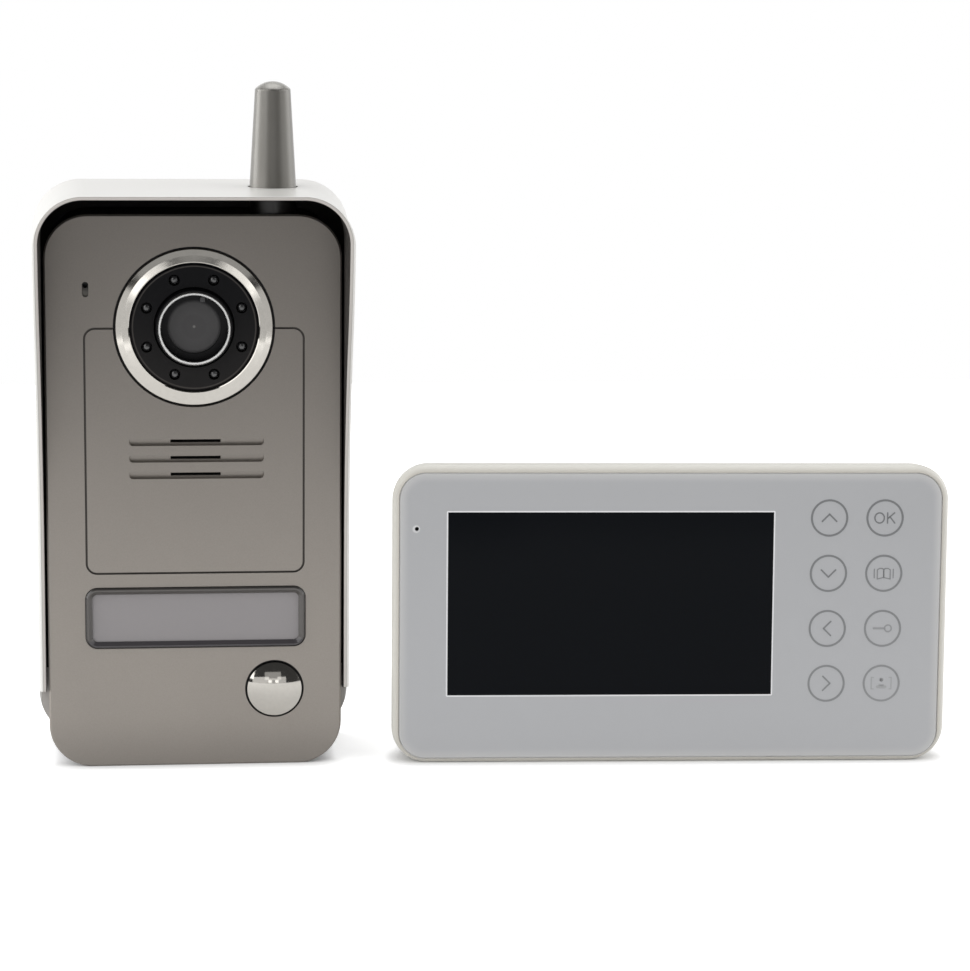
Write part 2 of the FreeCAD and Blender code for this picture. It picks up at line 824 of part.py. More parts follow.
nodes["cable_grommet"] = turned([
    (grommet_bore, shell_back - grommet_flange_thick), (grommet_flange_radius, shell_back - grommet_flange_thick),
    (grommet_flange_radius, shell_back), (grommet_radius, shell_back), (grommet_radius, cover_back),
    (grommet_flange_radius, cover_back), (grommet_flange_radius, cover_back + grommet_flange_thick),
    (grommet_bore, cover_back + grommet_flange_thick)], 0, cable_z)


# Rain hood

def rim_points():
    """Side view of the rim: straight below, then swept forwards, then rounded to the top."""
    sweep = math.radians(hood_sweep_angle)
    bend_z = hood_straight_top + hood_sweep_radius * math.sin(sweep)
    bend_y = -hood_sweep_radius * (1 - math.cos(sweep))
    mid = sweep / 2
    sweep_mid = Vector(0, -hood_sweep_radius * (1 - math.cos(mid)),
                       hood_straight_top + hood_sweep_radius * math.sin(mid))
    above = hood_top + 6
    last = math.asin(math.sin(sweep) - (above - bend_z) / hood_crown_radius)
    between = (sweep + last) / 2

    def crown(angle):
        return Vector(0, bend_y - hood_crown_radius * (math.cos(angle) - math.cos(sweep)),
                      bend_z + hood_crown_radius * (math.sin(sweep) - math.sin(angle)))

    start = Vector(0, 0, hood_straight_top)
    bend = Vector(0, bend_y, bend_z)
    return start, sweep_mid, bend, crown(between), crown(last)


def hood_side_profile():
    """Everything behind the rim and above the ends of the side walls, seen from the side."""
    start, sweep_mid, bend, crown_mid, crown_end = rim_points()
    back = plate_back + 5
    slope = (hood_wall_end_back - hood_wall_end_front) / cover_back
    low_front = Vector(0, 0, hood_wall_end_front)
    low_back = Vector(0, back, hood_wall_end_front + slope * back)
    top_back = Vector(0, back, crown_end.z)
    edges = [Part.makeLine(low_front, start), Part.Arc(start, sweep_mid, bend).toShape(),
             Part.Arc(bend, crown_mid, crown_end).toShape(), Part.makeLine(crown_end, top_back),
             Part.makeLine(top_back, low_back), Part.makeLine(low_back, low_front)]
    width = 2 * (hood_outer_half + hood_flare) + 20
    face = Part.Face(Part.Wire(edges))
    face.translate(Vector(-width / 2, 0, 0))
    return face.extrude(Vector(width, 0, 0))


def hood_outline(half, top, y, corner, low_corner, low=0.0):
    """The hood's outline at one depth."""
    return outline(-half, half, low, top, y, corner, low_corner)


hood_front = -60.0
corner_inside = hood_corner_outside - hood_wall
outer_front = slab(-hood_outer_half, hood_outer_half, 0, hood_top, hood_front,
                   hood_flare_start, hood_corner_outside, hood_plate_corner)
outer_rear = loft(
    hood_outline(hood_outer_half, hood_top, hood_flare_start, hood_corner_outside,
                 hood_plate_corner),
    hood_outline(hood_outer_half + hood_flare, hood_top, plate_back, hood_corner_outside,
                 hood_plate_corner))
below = -40.0
inner_front = slab(-hood_inner_half, hood_inner_half, below, hood_top_inside, hood_front - 1,
                   hood_flare_start, corner_inside)
inner_rear = loft(
    hood_outline(hood_inner_half, hood_top_inside, hood_flare_start, corner_inside,
                 corner_inside, below),
    hood_outline(hood_inner_half + hood_flare, hood_top_inside, cover_back, corner_inside,
                 corner_inside, below))
plate = slab(-hood_outer_half - hood_flare, hood_outer_half + hood_flare, 0, hood_top,
             cover_back, plate_back, hood_corner_outside, hood_plate_corner)
hood = outer_front.fuse(outer_rear).cut(inner_front.fuse(inner_rear))
hood = hood.common(hood_side_profile())


def on_rim(point, edge):
    """True for an edge that runs along the rim, inside or outside, and not across the wall."""
    start, sweep_mid, bend, crown_mid, crown_end = rim_points()
    ends = [v.Point for v in edge.Vertexes]
    if edge.Length < 2.5:
        return False
    for p in ends + [point]:
        if p.z < hood_straight_top + 0.01:
            depth = 0.0
        elif p.z < bend.z + 0.01:
            rise = p.z - hood_straight_top
            depth = math.sqrt(hood_sweep_radius ** 2 - rise ** 2) - hood_sweep_radius
        else:
            turn = math.sin(math.radians(hood_sweep_angle)) - (p.z - bend.z) / hood_crown_radius
            depth = bend.y - hood_crown_radius * (math.sqrt(1 - turn ** 2)
                                                  - math.cos(math.radians(hood_sweep_angle)))
        if abs(p.y - depth) > 0.02:
            return False
    return True


hood = hood.makeFillet(hood_rim_round, edges_near(hood, on_rim))
plate_space = block(-90, 90, cover_back, plate_back, -5, hood_top + 20)
hood = hood.cut(plate_space).fuse(outer_rear.common(plate_space))
hood = hood.fuse(block(-lip_half_width, lip_half_width, cover_back - lip_reach, plate_back, 0,
                       lip_thick))
hood = hood.cut(Part.makeCylinder(aerial_base_radius + aerial_hole_gap, hood_top_wall + 2,
                                  Vector(aerial_x, aerial_y, hood_top_inside - 1)))
for side in (-1, 1):
    for z in (wall_hole_low, wall_hole_high):
        hood = hood.cut(bar(wall_hole_radius, cover_back - 1, plate_back + 1,
                            side * wall_hole_x, z))
    hood = hood.cut(bar(stud_radius - 0.5, cover_back - 1, plate_back + 1, side * stud_x, stud_z))
hood = hood.cut(bar(plate_hole_radius, cover_back - 1, plate_back + 1, 0, cable_z))
lock_cone = Part.makeCone(lock_screw_head_radius + 0.05, lock_screw_radius + screw_gap, lip_thick,
                          Vector(0, lock_boss_y, 0))
hood = hood.cut(lock_cone)
nodes["rain_hood"] = hood.removeSplitter()

stud_y0 = shell_back - stud_neck_gap - stud_head_thick


def hanging_stud(x):
    """A riveted stud with a head inside the rear cover."""
    return joined(
        bar(stud_head_radius, stud_y0, stud_y0 + stud_head_thick, x, stud_z),
        bar(stud_radius, stud_y0 + stud_head_thick, cover_back, x, stud_z),
        bar(stud_radius - 0.5, cover_back, plate_back, x, stud_z))


nodes["hanging_studs"] = group(hanging_stud(side * stud_x) for side in (-1, 1))
lock_head = Part.makeCone(lock_screw_head_radius, lock_screw_radius, lip_thick,
                          Vector(0, lock_boss_y, 0))
lock_shank = Part.makeCylinder(lock_screw_radius, lock_length - lip_thick,
                               Vector(0, lock_boss_y, lip_thick))
lock_slot = block(-lock_screw_head_radius, lock_screw_head_radius, lock_boss_y - 0.3,
                  lock_boss_y + 0.3, -1, 0.7)
nodes["locking_screw"] = joined(lock_head, lock_shank).cut(lock_slot)


# Aerial

def upright(radius, z0, z1):
    """A round bar on the aerial's axis."""
    return Part.makeCylinder(radius, z1 - z0, Vector(aerial_x, aerial_y, z0))


aerial_taper_top = aerial_top - aerial_tip_height
tip_curve = (aerial_tip_radius ** 2 + aerial_tip_height ** 2) / (2 * aerial_tip_height)
tip = Part.makeSphere(tip_curve, Vector(aerial_x, aerial_y, aerial_top - tip_curve))
tip = tip.common(upright(aerial_tip_radius, aerial_taper_top, aerial_top + 1))
taper = Part.makeCone(aerial_base_radius, aerial_tip_radius, aerial_taper_top - aerial_base_top,
                      Vector(aerial_x, aerial_y, aerial_base_top))
neck_low = shell_high - aerial_neck_length
aerial_rod_low = neck_low - aerial_rod_below
aerial_rod_high = aerial_taper_top - aerial_rod_cover
sleeve = joined(upright(aerial_neck_radius, neck_low, shell_high),
                upright(aerial_base_radius, shell_high, aerial_base_top), taper, tip)
tip_edge = edges_near(sleeve, lambda p, e: abs(p.z - aerial_taper_top) < 0.01)
sleeve = sleeve.makeFillet(aerial_tip_round, tip_edge)
sleeve = sleeve.cut(upright(aerial_bore, neck_low - 1, aerial_rod_high))
nodes["aerial_sleeve"] = sleeve
nodes["aerial_rod"] = joined(upright(aerial_rod_radius, aerial_rod_low, aerial_rod_high),
                             upright(aerial_bore - 0.05, aerial_rod_high - 4, aerial_rod_high))
hexagon = []
for i in range(7):
    a = math.radians(60 * i)
    hexagon.append(Vector(aerial_x + aerial_nut_size * math.cos(a),
                          aerial_y + aerial_nut_size * math.sin(a),
                          shell_high - body_wall - aerial_nut_thick))
nut = Part.Face(Part.makePolygon(hexagon)).extrude(Vector(0, 0, aerial_nut_thick))
nodes["aerial_nut"] = nut.cut(upright(aerial_neck_radius + 0.05, 0, aerial_top))


# Speaker and microphone of the door station

nodes["door_speaker"] = turned([
    (0, speaker_y0 + 1.0), (speaker_radius - speaker_rim, speaker_y0),
    (speaker_radius, speaker_y0), (speaker_radius, speaker_y0 + 2.0),
    (speaker_magnet_radius + 1.5, speaker_y0 + speaker_depth - 3.0),
    (speaker_magnet_radius, speaker_y0 + speaker_depth - 3.0),
    (speaker_magnet_radius, speaker_y0 + speaker_depth), (0, speaker_y0 + speaker_depth)],
    speaker_x, speaker_z)
nodes["speaker_cloth"] = bar(cloth_radius, shell_front_back, speaker_y0, speaker_x, speaker_z)
mic_y0 = shell_front_back + 0.6
nodes["door_microphone"] = bar(mic_capsule_radius, mic_y0, mic_y0 + mic_capsule_depth,
                               mic_x, mic_hole_z)
boot = bar(mic_cup_radius, shell_front_back, mic_y0 + mic_capsule_depth, mic_x, mic_hole_z)
boot = boot.cut(bar(mic_capsule_radius, mic_y0, mic_y0 + mic_capsule_depth + 1, mic_x, mic_hole_z))
boot = boot.cut(bar(mic_hole_radius, shell_front_back - 1, mic_y0 + 1, mic_x, mic_hole_z))
nodes["microphone_boot"] = boot


# Circuit board of the door station and what is soldered to it

board_back = board_y + board_thick
half_board_width = board_width / 2
board = block(-half_board_width, half_board_width, board_y, board_back, board_low, board_high)
for x, z in board_screw_places:
    board = board.cut(bar(board_screw_radius + screw_gap, board_y - 1, board_back + 1, x, z))
nodes["door_board"] = board
nodes["board_screws"] = group(
    front_screw(x, z, board_back, board_screw_radius, board_screw_length,
                board_screw_head_radius, board_screw_head) for x, z in board_screw_places)
radio_left = half_board_width - board_screw_inset - board_screw_head_radius - radio_width - 1
radio_high = board_high - 9
nodes["door_radio"] = block(radio_left, radio_left + radio_width, board_back,
                            board_back + radio_tall, radio_high - radio_height, radio_high)
relay_left = -half_board_width + 6
nodes["lock_relay"] = block(relay_left, relay_left + relay_width, board_back,
                            board_back + relay_tall, board_low + 12, board_low + 12 + relay_height)
terminal_left = -terminal_poles * terminal_pitch / 2 + 12
terminal_low = board_low + 10
terminal = block(terminal_left, terminal_left + terminal_poles * terminal_pitch, board_back,
                 board_back + terminal_tall, terminal_low, terminal_low + terminal_height)
for i in range(terminal_poles):
    x = terminal_left + terminal_pitch * (i + 0.5)
    screw_z = terminal_low + terminal_height / 2 + 1
    terminal = terminal.cut(bar(terminal_screw_radius, board_back + terminal_tall - 1,
                                board_back + terminal_tall + 1, x, screw_z))
    terminal = terminal.cut(block(x - terminal_screw_radius, x + terminal_screw_radius,
                                  board_back + terminal_tall - 1.6, board_back + terminal_tall,
                                  screw_z - 0.25, screw_z + 0.25))
    terminal = terminal.cut(block(x - 1.6, x + 1.6, board_back + 2, board_back + 5,
                                  terminal_low - 1, terminal_low + 5))
nodes["terminal_block"] = terminal
button_board = block(button_x - button_post_across - button_post_radius,
                     button_x + button_post_across + button_post_radius,
                     switch_y1, button_board_y1, button_z - button_post_up - button_post_radius,
                     button_z + button_post_up + button_post_radius)
for x, z in button_post_places:
    button_board = button_board.cut(bar(button_pin_radius + 0.1, switch_y1 - 1,
                                        button_board_y1 + 1, x, z))
nodes["button_board"] = button_board


# Monitor. Its pieces are drawn upright first, front face at Y = 0 and bottom edge at Z = 0.

monitor = {}
draft = math.tan(math.radians(monitor_lean))
glass_width = (screen_margin + screen_width + key_gap + key_pitch * (key_columns - 1)
               + key_margin)
glass_height = screen_margin_low + screen_height + screen_margin_top
housing_width = glass_width + 2 * housing_rim
housing_height = glass_low + glass_height + housing_rim_top
half_housing = housing_width / 2
monitor_depth = front_depth + rear_depth
half_glass = glass_width / 2
glass_high = glass_low + glass_height
screen_left = -half_glass + screen_margin
screen_low = glass_low + screen_margin_low
screen_right = screen_left + screen_width
screen_high = screen_low + screen_height
key_left = screen_right + key_gap
key_top = glass_high - key_drop
mini_mic_x = -half_glass + mini_mic_inset
mini_mic_z = glass_high - mini_mic_drop
small_speaker_x = half_housing - small_speaker_inset
battery_x = -half_housing + battery_inset
hang_z = housing_height - hang_drop
housing_screw_x = half_housing - housing_screw_inset
housing_screw_high = housing_height - housing_screw_drop
main_high = housing_height - main_drop


def housing_outline(y, inset=0.0):
    """The housing's outline at depth y; it narrows evenly and its back tapers more."""
    into = max(0.0, y - front_depth) / rear_depth
    side = draft * y + rear_taper * into + inset
    low = draft * y + inset - foot_cut
    corner = housing_corner + (rear_corner - housing_corner) * into - inset
    return outline(-half_housing + side, half_housing - side, low,
                   housing_height - side, y, corner)


far_y = 2 * monitor_depth
foot_points = [Vector(-housing_width, -far_y, -draft * far_y), Vector(-housing_width, far_y, draft * far_y),
               Vector(-housing_width, far_y, -far_y), Vector(-housing_width, -far_y, -far_y)]
below_foot = Part.Face(Part.makePolygon(foot_points + foot_points[:1]))
below_foot = below_foot.extrude(Vector(2 * housing_width, 0, 0))
front_outer = loft(housing_outline(0), housing_outline(front_depth))
front_edges = edges_near(front_outer, lambda p, e: abs(p.y) < 0.01)
front_outer = front_outer.makeFillet(housing_round, front_edges).cut(below_foot)
seat_y1 = glass_thick + ledge_thick
front = front_outer.cut(slab(-half_glass - glass_gap, half_glass + glass_gap,
                             glass_low - glass_gap, glass_high + glass_gap, -1, glass_thick,
                             glass_corner + glass_gap))
front = front.cut(slab(-half_glass + ledge_width, half_glass - ledge_width,
                       glass_low + ledge_width, glass_high - ledge_width, 0, seat_y1 + 1,
                       glass_corner - ledge_width))
front = front.cut(loft(housing_outline(seat_y1, housing_wall),
                       housing_outline(front_depth, housing_wall)))
housing_screw_places = [(side * housing_screw_x, z)
                        for z in (housing_screw_low, housing_screw_high) for side in (-1, 1)]
lcd_y1 = glass_thick + lcd_thick
can_y1 = lcd_y1 + lcd_can_thick
post_y0 = can_y1 + 0.4
inside_front = loft(housing_outline(seat_y1, 0.5), housing_outline(front_depth, 0.5))
for x, z in housing_screw_places:
    wall_side = math.copysign(half_housing, x)
    web = block(min(x, wall_side), max(x, wall_side), post_y0, front_depth, z - 1.2, z + 1.2)
    post = bar(housing_boss_radius, post_y0, front_depth, x, z).fuse(web).common(inside_front)
    front = front.fuse(post)
    front = front.cut(bar(housing_screw_radius + screw_gap, post_y0 + 0.6, front_depth + 1, x, z))
monitor["front_housing"] = front.removeSplitter()

glass = slab(-half_glass, half_glass, glass_low, glass_high, 0, glass_thick, glass_corner)
glass_edges = edges_near(glass, lambda p, e: abs(p.y) < 0.01)
glass = glass.makeChamfer(glass_bevel, glass_edges)
glass = glass.cut(bar(mini_mic_hole, -1, glass_thick + 1, mini_mic_x, mini_mic_z))
monitor["front_glass"] = glass

key_places = [(key_left + key_pitch * column, key_top - key_pitch * row)
              for row in range(key_rows) for column in range(key_columns)]
monitor["key_rings"] = group(
    tube(key_radius, key_radius - key_line, -key_print_thick, 0, x, z) for x, z in key_places)

monitor["lcd_panel"] = block(screen_left - screen_border + lcd_can_wall,
                             screen_right + screen_border - lcd_can_wall, glass_thick, lcd_y1,
                             screen_low - screen_border_low + lcd_can_wall,
                             screen_high + screen_border_top - lcd_can_wall)
lcd_can = block(screen_left - screen_border, screen_right + screen_border, glass_thick + 0.4, can_y1,
                screen_low - screen_border_low, screen_high + screen_border_top)
monitor["lcd_back_frame"] = lcd_can.cut(block(
    screen_left - screen_border + lcd_can_wall, screen_right + screen_border - lcd_can_wall,
    0, lcd_y1, screen_low - screen_border_low + lcd_can_wall,
    screen_high + screen_border_top - lcd_can_wall))

key_right = key_left + key_pitch * (key_columns - 1)
key_bottom = key_top - key_pitch * (key_rows - 1)
monitor["touch_board"] = block(key_left - key_board_margin + 0.5, key_right + key_board_margin,
                               glass_thick, glass_thick + key_board_thick,
                               key_bottom - key_board_margin, key_top + key_board_margin)

monitor["monitor_microphone"] = bar(mini_mic_radius, glass_thick, glass_thick + mini_mic_tall,
                                    mini_mic_x, mini_mic_z)


# Main board of the monitor

half_main = main_width / 2
main_back = main_y + main_thick
main_screw_places = [(side * (half_main - main_screw_inset), z)
                     for z in (main_low + main_screw_inset, main_high - main_screw_inset)
                     for side in (-1, 1)]
main_board = block(-half_main, half_main, main_y, main_back, main_low, main_high)
for x, z in main_screw_places:
    main_board = main_board.cut(bar(board_screw_radius + screw_gap, 0, main_back + 1, x, z))
chips = [(-24, 20, chip_size, chip_size), (-24, 44, chip_size, 10), (4, 66, 10, 6)]
for x, z, wide, tall in chips:
    main_board = main_board.fuse(block(x, x + wide, main_back, main_back + chip_tall, z, z + tall))
main_board = main_board.fuse(block(can_left, can_left + can_width, main_back,
                                   main_back + can_tall, can_low, can_low + can_height))
monitor["monitor_board"] = main_board
head_y = main_y - board_screw_head


def board_screw(x, z):
    """A board screw driven from the front, with its head before the board."""
    shank = bar(board_screw_radius, main_y, main_y + board_screw_length, x, z)
    head = bar(board_screw_head_radius, head_y, main_y, x, z)
    slot = block(x - board_screw_head_radius, x + board_screw_head_radius, head_y - 1,
                 head_y + board_screw_head * 0.45, z - 0.3, z + 0.3)
    return joined(shank, head).cut(slot)


monitor["monitor_board_screws"] = group(board_screw(x, z) for x, z in main_screw_places)


# Rear housing with battery tray, stand recess, jack and switch openings

wall_y = monitor_depth - housing_wall
rear_outer = loft(housing_outline(front_depth), housing_outline(monitor_depth))
rear_edges = edges_near(rear_outer, lambda p, e: abs(p.y - monitor_depth) < 0.01)
rear_outer = rear_outer.makeFillet(rear_round, rear_edges).cut(below_foot)
rear_cavity = loft(housing_outline(front_depth, housing_wall), housing_outline(wall_y, housing_wall))
rear = rear_outer.cut(rear_cavity)

recess_y = monitor_depth - stand_recess
recess_half = stand_width / 2 + stand_gap
recess_low = stand_low - stand_gap
recess_high = stand_pivot_z + stand_barrel_radius + stand_gap
recess_block = block(-recess_half - stand_recess_wall, recess_half + stand_recess_wall,
                     recess_y - stand_recess_wall, wall_y + 0.5,
                     recess_low - stand_notch_tall - stand_recess_wall,
                     recess_high + stand_recess_wall)

hang_low = hang_z - hang_slot_rise
pocket_y = monitor_depth - hang_pocket_depth
pocket_half = hang_radius + 0.2
pocket_blocks = [block(side * hang_x - pocket_half - tray_wall, side * hang_x + pocket_half + tray_wall,
                       pocket_y - tray_wall, wall_y + 0.5, hang_low - pocket_half - tray_wall,
                       hang_z + pocket_half + tray_wall) for side in (-1, 1)]
tray_half_width = battery_width / 2 + battery_gap
tray_half_height = battery_height / 2 + battery_gap
door_y0 = monitor_depth - door_thick - door_gap
battery_y1 = door_y0 - 0.3
battery_y0 = battery_y1 - battery_thick
tray_y0 = battery_y0 - tray_wall
tray_block = block(battery_x - tray_half_width - tray_wall, battery_x + tray_half_width + tray_wall,
                   tray_y0, wall_y + 0.5, battery_z - tray_half_height - tray_wall,
                   battery_z + tray_half_height + tray_wall)
inside_rear = loft(housing_outline(front_depth, 0.6), housing_outline(monitor_depth - 0.6, 0.6))
door_half_width = tray_half_width + door_lap
door_half_height = tray_half_height + door_lap
shelf_block = block(battery_x - door_half_width - tray_wall,
                    battery_x + door_half_width + door_travel + tray_wall,
                    door_y0 - tray_wall, wall_y + 0.5,
                    battery_z - door_half_height - tray_wall,
                    battery_z + door_half_height + tray_wall)
inner_parts = recess_block.fuse([tray_block, shelf_block] + pocket_blocks)
rear = rear.fuse(inner_parts.common(inside_rear))
for x, z in main_screw_places:
    rear = rear.fuse(bar(main_post_radius, main_back, wall_y + 0.5, x, z))
for x, z in housing_screw_places:
    boss = bar(housing_boss_radius, front_depth, wall_y + 0.5, x, z).common(inside_rear)
    rear = rear.fuse(boss)
rear = rear.cut(slab(-recess_half, recess_half, recess_low, recess_high, recess_y,
                     monitor_depth + 1, 0.6))
rear = rear.cut(slab(-stand_notch_width / 2, stand_notch_width / 2, recess_low - stand_notch_tall,
                     recess_low + 3, recess_y, monitor_depth + 1, 1.5))
rear = rear.cut(block(battery_x - tray_half_width, battery_x + tray_half_width, battery_y0,
                      monitor_depth + 1, battery_z - tray_half_height,
                      battery_z + tray_half_height))
rear = rear.cut(slab(battery_x - door_half_width - door_gap,
                     battery_x + door_half_width + door_travel + door_gap,
                     battery_z - door_half_height - door_gap,
                     battery_z + door_half_height + door_gap, door_y0,
                     monitor_depth + 1, 1.5))
for x, z in main_screw_places:
    rear = rear.cut(bar(board_screw_radius + screw_gap, main_back - 1,
                        main_y + board_screw_length + 0.5, x, z))
screw_seat_y = monitor_depth - housing_screw_head - 0.6
for x, z in housing_screw_places:
    rear = rear.cut(bar(housing_screw_radius + screw_gap, front_depth - 1, monitor_depth, x, z))
    rear = rear.cut(bar(housing_screw_head_radius + 0.3, screw_seat_y, monitor_depth + 1, x, z))
stand_pin_y = monitor_depth - stand_sunk - stand_barrel_radius
pin_half = recess_half + stand_pin_sink
pin_hole = Part.makeCylinder(stand_pin_radius + stand_pin_gap, 2 * pin_half + 0.2,
                             Vector(-pin_half - 0.1, stand_pin_y, stand_pivot_z), Vector(1, 0, 0))
rear = rear.cut(pin_hole)
for side in (-1, 1):
    rear = rear.cut(block(side * hang_x - pocket_half, side * hang_x + pocket_half, pocket_y, wall_y,
                          hang_low - pocket_half, hang_z + pocket_half))
    rear = rear.cut(keyhole(side * hang_x, hang_low, wall_y - 1, monitor_depth + 1,
                            hang_radius, hang_slot_radius, hang_slot_rise))
sound_slots = 5
for i in range(sound_slots):
    z = small_speaker_z + (i - (sound_slots - 1) / 2) * 3.4
    rear = rear.cut(slab(small_speaker_x - 8, small_speaker_x + 8, z - 0.75, z + 0.75,
                         wall_y - 1, monitor_depth + 1, 0.7))
rear = rear.fuse(tube(small_speaker_radius + 1.3, small_speaker_radius + 0.15,
                      wall_y - 2.5, wall_y + 0.2, small_speaker_x, small_speaker_z))
half_knob_slot = knob_length / 2 + knob_gap
rear = rear.cut(block(knob_x - half_knob_slot, knob_x + half_knob_slot + knob_travel, wall_y - 1,
                      monitor_depth + 1, knob_z - knob_height / 2 - knob_gap,
                      knob_z + knob_height / 2 + knob_gap))
jack_y = (front_depth + wall_y) / 2
side_at_jack = half_housing - draft * jack_y - rear_taper * (jack_y - front_depth) / rear_depth
jack_face = side_at_jack - jack_sunk
rear = rear.cut(Part.makeCylinder(jack_nose_radius + 0.2, 12, Vector(side_at_jack + 4, jack_y, jack_z),
                                  Vector(-1, 0, 0)))
monitor["rear_housing"] = rear.removeSplitter()
monitor["housing_screws"] = group(
    front_screw(x, z, screw_seat_y, housing_screw_radius, housing_screw_length,
                housing_screw_head_radius, housing_screw_head) for x, z in housing_screw_places)


# Battery, battery door, power jack, power switch and speaker of the monitor

half_battery = battery_width / 2
monitor["battery"] = slab(battery_x - half_battery, battery_x + half_battery,
                          battery_z - battery_height / 2, battery_z + battery_height / 2,
                          battery_y0, battery_y1, 2.0)
door = slab(battery_x - door_half_width, battery_x + door_half_width,
            battery_z - door_half_height, battery_z + door_half_height,
            door_y0 + 0.05, door_y0 + door_thick, 1.4)
for i in range(5):
    x = battery_x - door_half_width + 6 + 1.8 * i
    door = door.cut(block(x - 0.45, x + 0.45, door_y0 + door_thick - 0.5, monitor_depth + 1,
                          battery_z - 7, battery_z + 7))
monitor["battery_door"] = door

jack_half = jack_body / 2
side_at_back = half_housing - draft * wall_y - rear_taper * (wall_y - front_depth) / rear_depth
wall_inside = side_at_back - housing_wall - 0.4
jack = joined(
    block(wall_inside - jack_length, wall_inside, jack_y - 3.6, wall_y, jack_z - jack_half,
          jack_z + jack_half),
    Part.makeCylinder(jack_nose_radius, jack_face - wall_inside,
                      Vector(wall_inside, jack_y, jack_z), Vector(1, 0, 0)))
jack_bore_end = wall_inside - jack_length + 3
monitor["power_jack"] = jack.cut(Part.makeCylinder(
    jack_bore, jack_face - jack_bore_end + 1, Vector(jack_bore_end, jack_y, jack_z),
    Vector(1, 0, 0)))

knob_y0 = wall_y - 0.3
monitor["switch_knob"] = joined(
    block(knob_x - knob_length / 2, knob_x + knob_length / 2, knob_y0, monitor_depth + knob_proud,
          knob_z - knob_height / 2, knob_z + knob_height / 2),
    block(knob_x - 0.8, knob_x + 0.8, knob_y0 - 1.4, knob_y0, knob_z - 0.8, knob_z + 0.8))
slider_y1 = knob_y0 - 0.1
slider_y0 = slider_y1 - slider_tall
slider_x = knob_x + knob_travel / 2
slider = block(slider_x - slider_length / 2, slider_x + slider_length / 2, slider_y0, slider_y1,
               knob_z - slider_height / 2, knob_z + slider_height / 2)
slider = slider.cut(block(knob_x - 1.1, knob_x + 1.1 + knob_travel, knob_y0 - 2.0, slider_y1 + 1,
                          knob_z - 1.1, knob_z + 1.1))
ears_y1 = wall_y
ear = block(slider_x - slider_length / 2, slider_x - slider_length / 2 + 1.5, slider_y1 - 0.5, ears_y1,
            knob_z - slider_height / 2, knob_z + slider_height / 2)
ear_step = Vector(slider_length - 1.5, 0, 0)
far_ear = ear.copy()
far_ear.translate(ear_step)
monitor["power_switch"] = joined(slider, ear, far_ear)

small_y1 = wall_y
small_y0 = small_y1 - small_speaker_depth
monitor["monitor_speaker"] = turned([
    (0, small_y0), (5.0, small_y0), (5.0, small_y0 + 1.6), (9.0, small_y0 + 1.6),
    (small_speaker_radius, small_y1 - 1.4), (small_speaker_radius, small_y1),
    (small_speaker_radius - 1.2, small_y1), (0, small_y1 - 0.8)],
    small_speaker_x, small_speaker_z)


# Fold-out stand

half_stand = stand_width / 2
leg_y1 = monitor_depth - stand_sunk
leg_y0 = leg_y1 - stand_thick
leg = slab(-half_stand, half_stand, stand_low, stand_pivot_z, leg_y0, leg_y1, 0.3, stand_foot_round)
leg = leg.cut(slab(-half_stand + 9, half_stand - 9, stand_low + 12, stand_pivot_z - 9,
                   leg_y1 - stand_rib_depth, leg_y1 + 1, 4.0))
barrel = Part.makeCylinder(stand_barrel_radius, stand_width,
                           Vector(-half_stand, stand_pin_y, stand_pivot_z), Vector(1, 0, 0))
leg = joined(leg, barrel)
leg = leg.cut(Part.makeCylinder(stand_pin_radius + stand_pin_gap, stand_width + 2,
                                Vector(-half_stand - 1, stand_pin_y, stand_pivot_z),
                                Vector(1, 0, 0)))
monitor["fold_stand"] = leg
monitor["stand_pin"] = Part.makeCylinder(stand_pin_radius, 2 * pin_half,
                                         Vector(-pin_half, stand_pin_y, stand_pivot_z),
                                         Vector(1, 0, 0))

# Set the monitor leaning back on its bottom face, turned, beside the door station.
stance = Placement(Vector(monitor_x, monitor_y, 0),
                   Rotation(Vector(0, 0, 1), -monitor_turn)
                   .multiply(Rotation(Vector(1, 0, 0), -monitor_lean)))
for name, shape in monitor.items():
    stood = shape.copy()
    stood.Placement = stance.multiply(shape.Placement)
    nodes[name] = stood

# The origin is on the floor, under the middle of the whole set.
whole = Part.makeCompound(list(nodes.values())).optimalBoundingBox(False, False)
origin_shift = Vector(-(whole.XMin + whole.XMax) / 2, -(whole.YMin + whole.YMax) / 2, -whole.ZMin)

os.makedirs("parts", exist_ok=True)
for name, shape in nodes.items():
    moved = shape.copy()
    moved.translate(origin_shift)
    moved.exportStep("parts/" + name + ".step")
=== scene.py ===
import json
import math

import bmesh
import bpy
from mathutils import Matrix, Vector


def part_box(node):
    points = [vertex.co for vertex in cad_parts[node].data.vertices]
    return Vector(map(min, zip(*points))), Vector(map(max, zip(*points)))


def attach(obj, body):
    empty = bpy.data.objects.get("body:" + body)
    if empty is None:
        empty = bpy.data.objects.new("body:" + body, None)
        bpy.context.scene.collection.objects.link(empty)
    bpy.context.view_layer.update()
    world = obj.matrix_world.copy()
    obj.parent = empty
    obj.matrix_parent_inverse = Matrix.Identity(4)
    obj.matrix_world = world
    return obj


bl_info = {
    "name": "Video intercom",
    "version": (1, 0, 0),
    "blender": (4, 5, 0),
    "location": "View3D > Sidebar > Intercom",
    "description": "Finishes for a door station with a rain hood and an indoor monitor",
    "category": "Object",
}

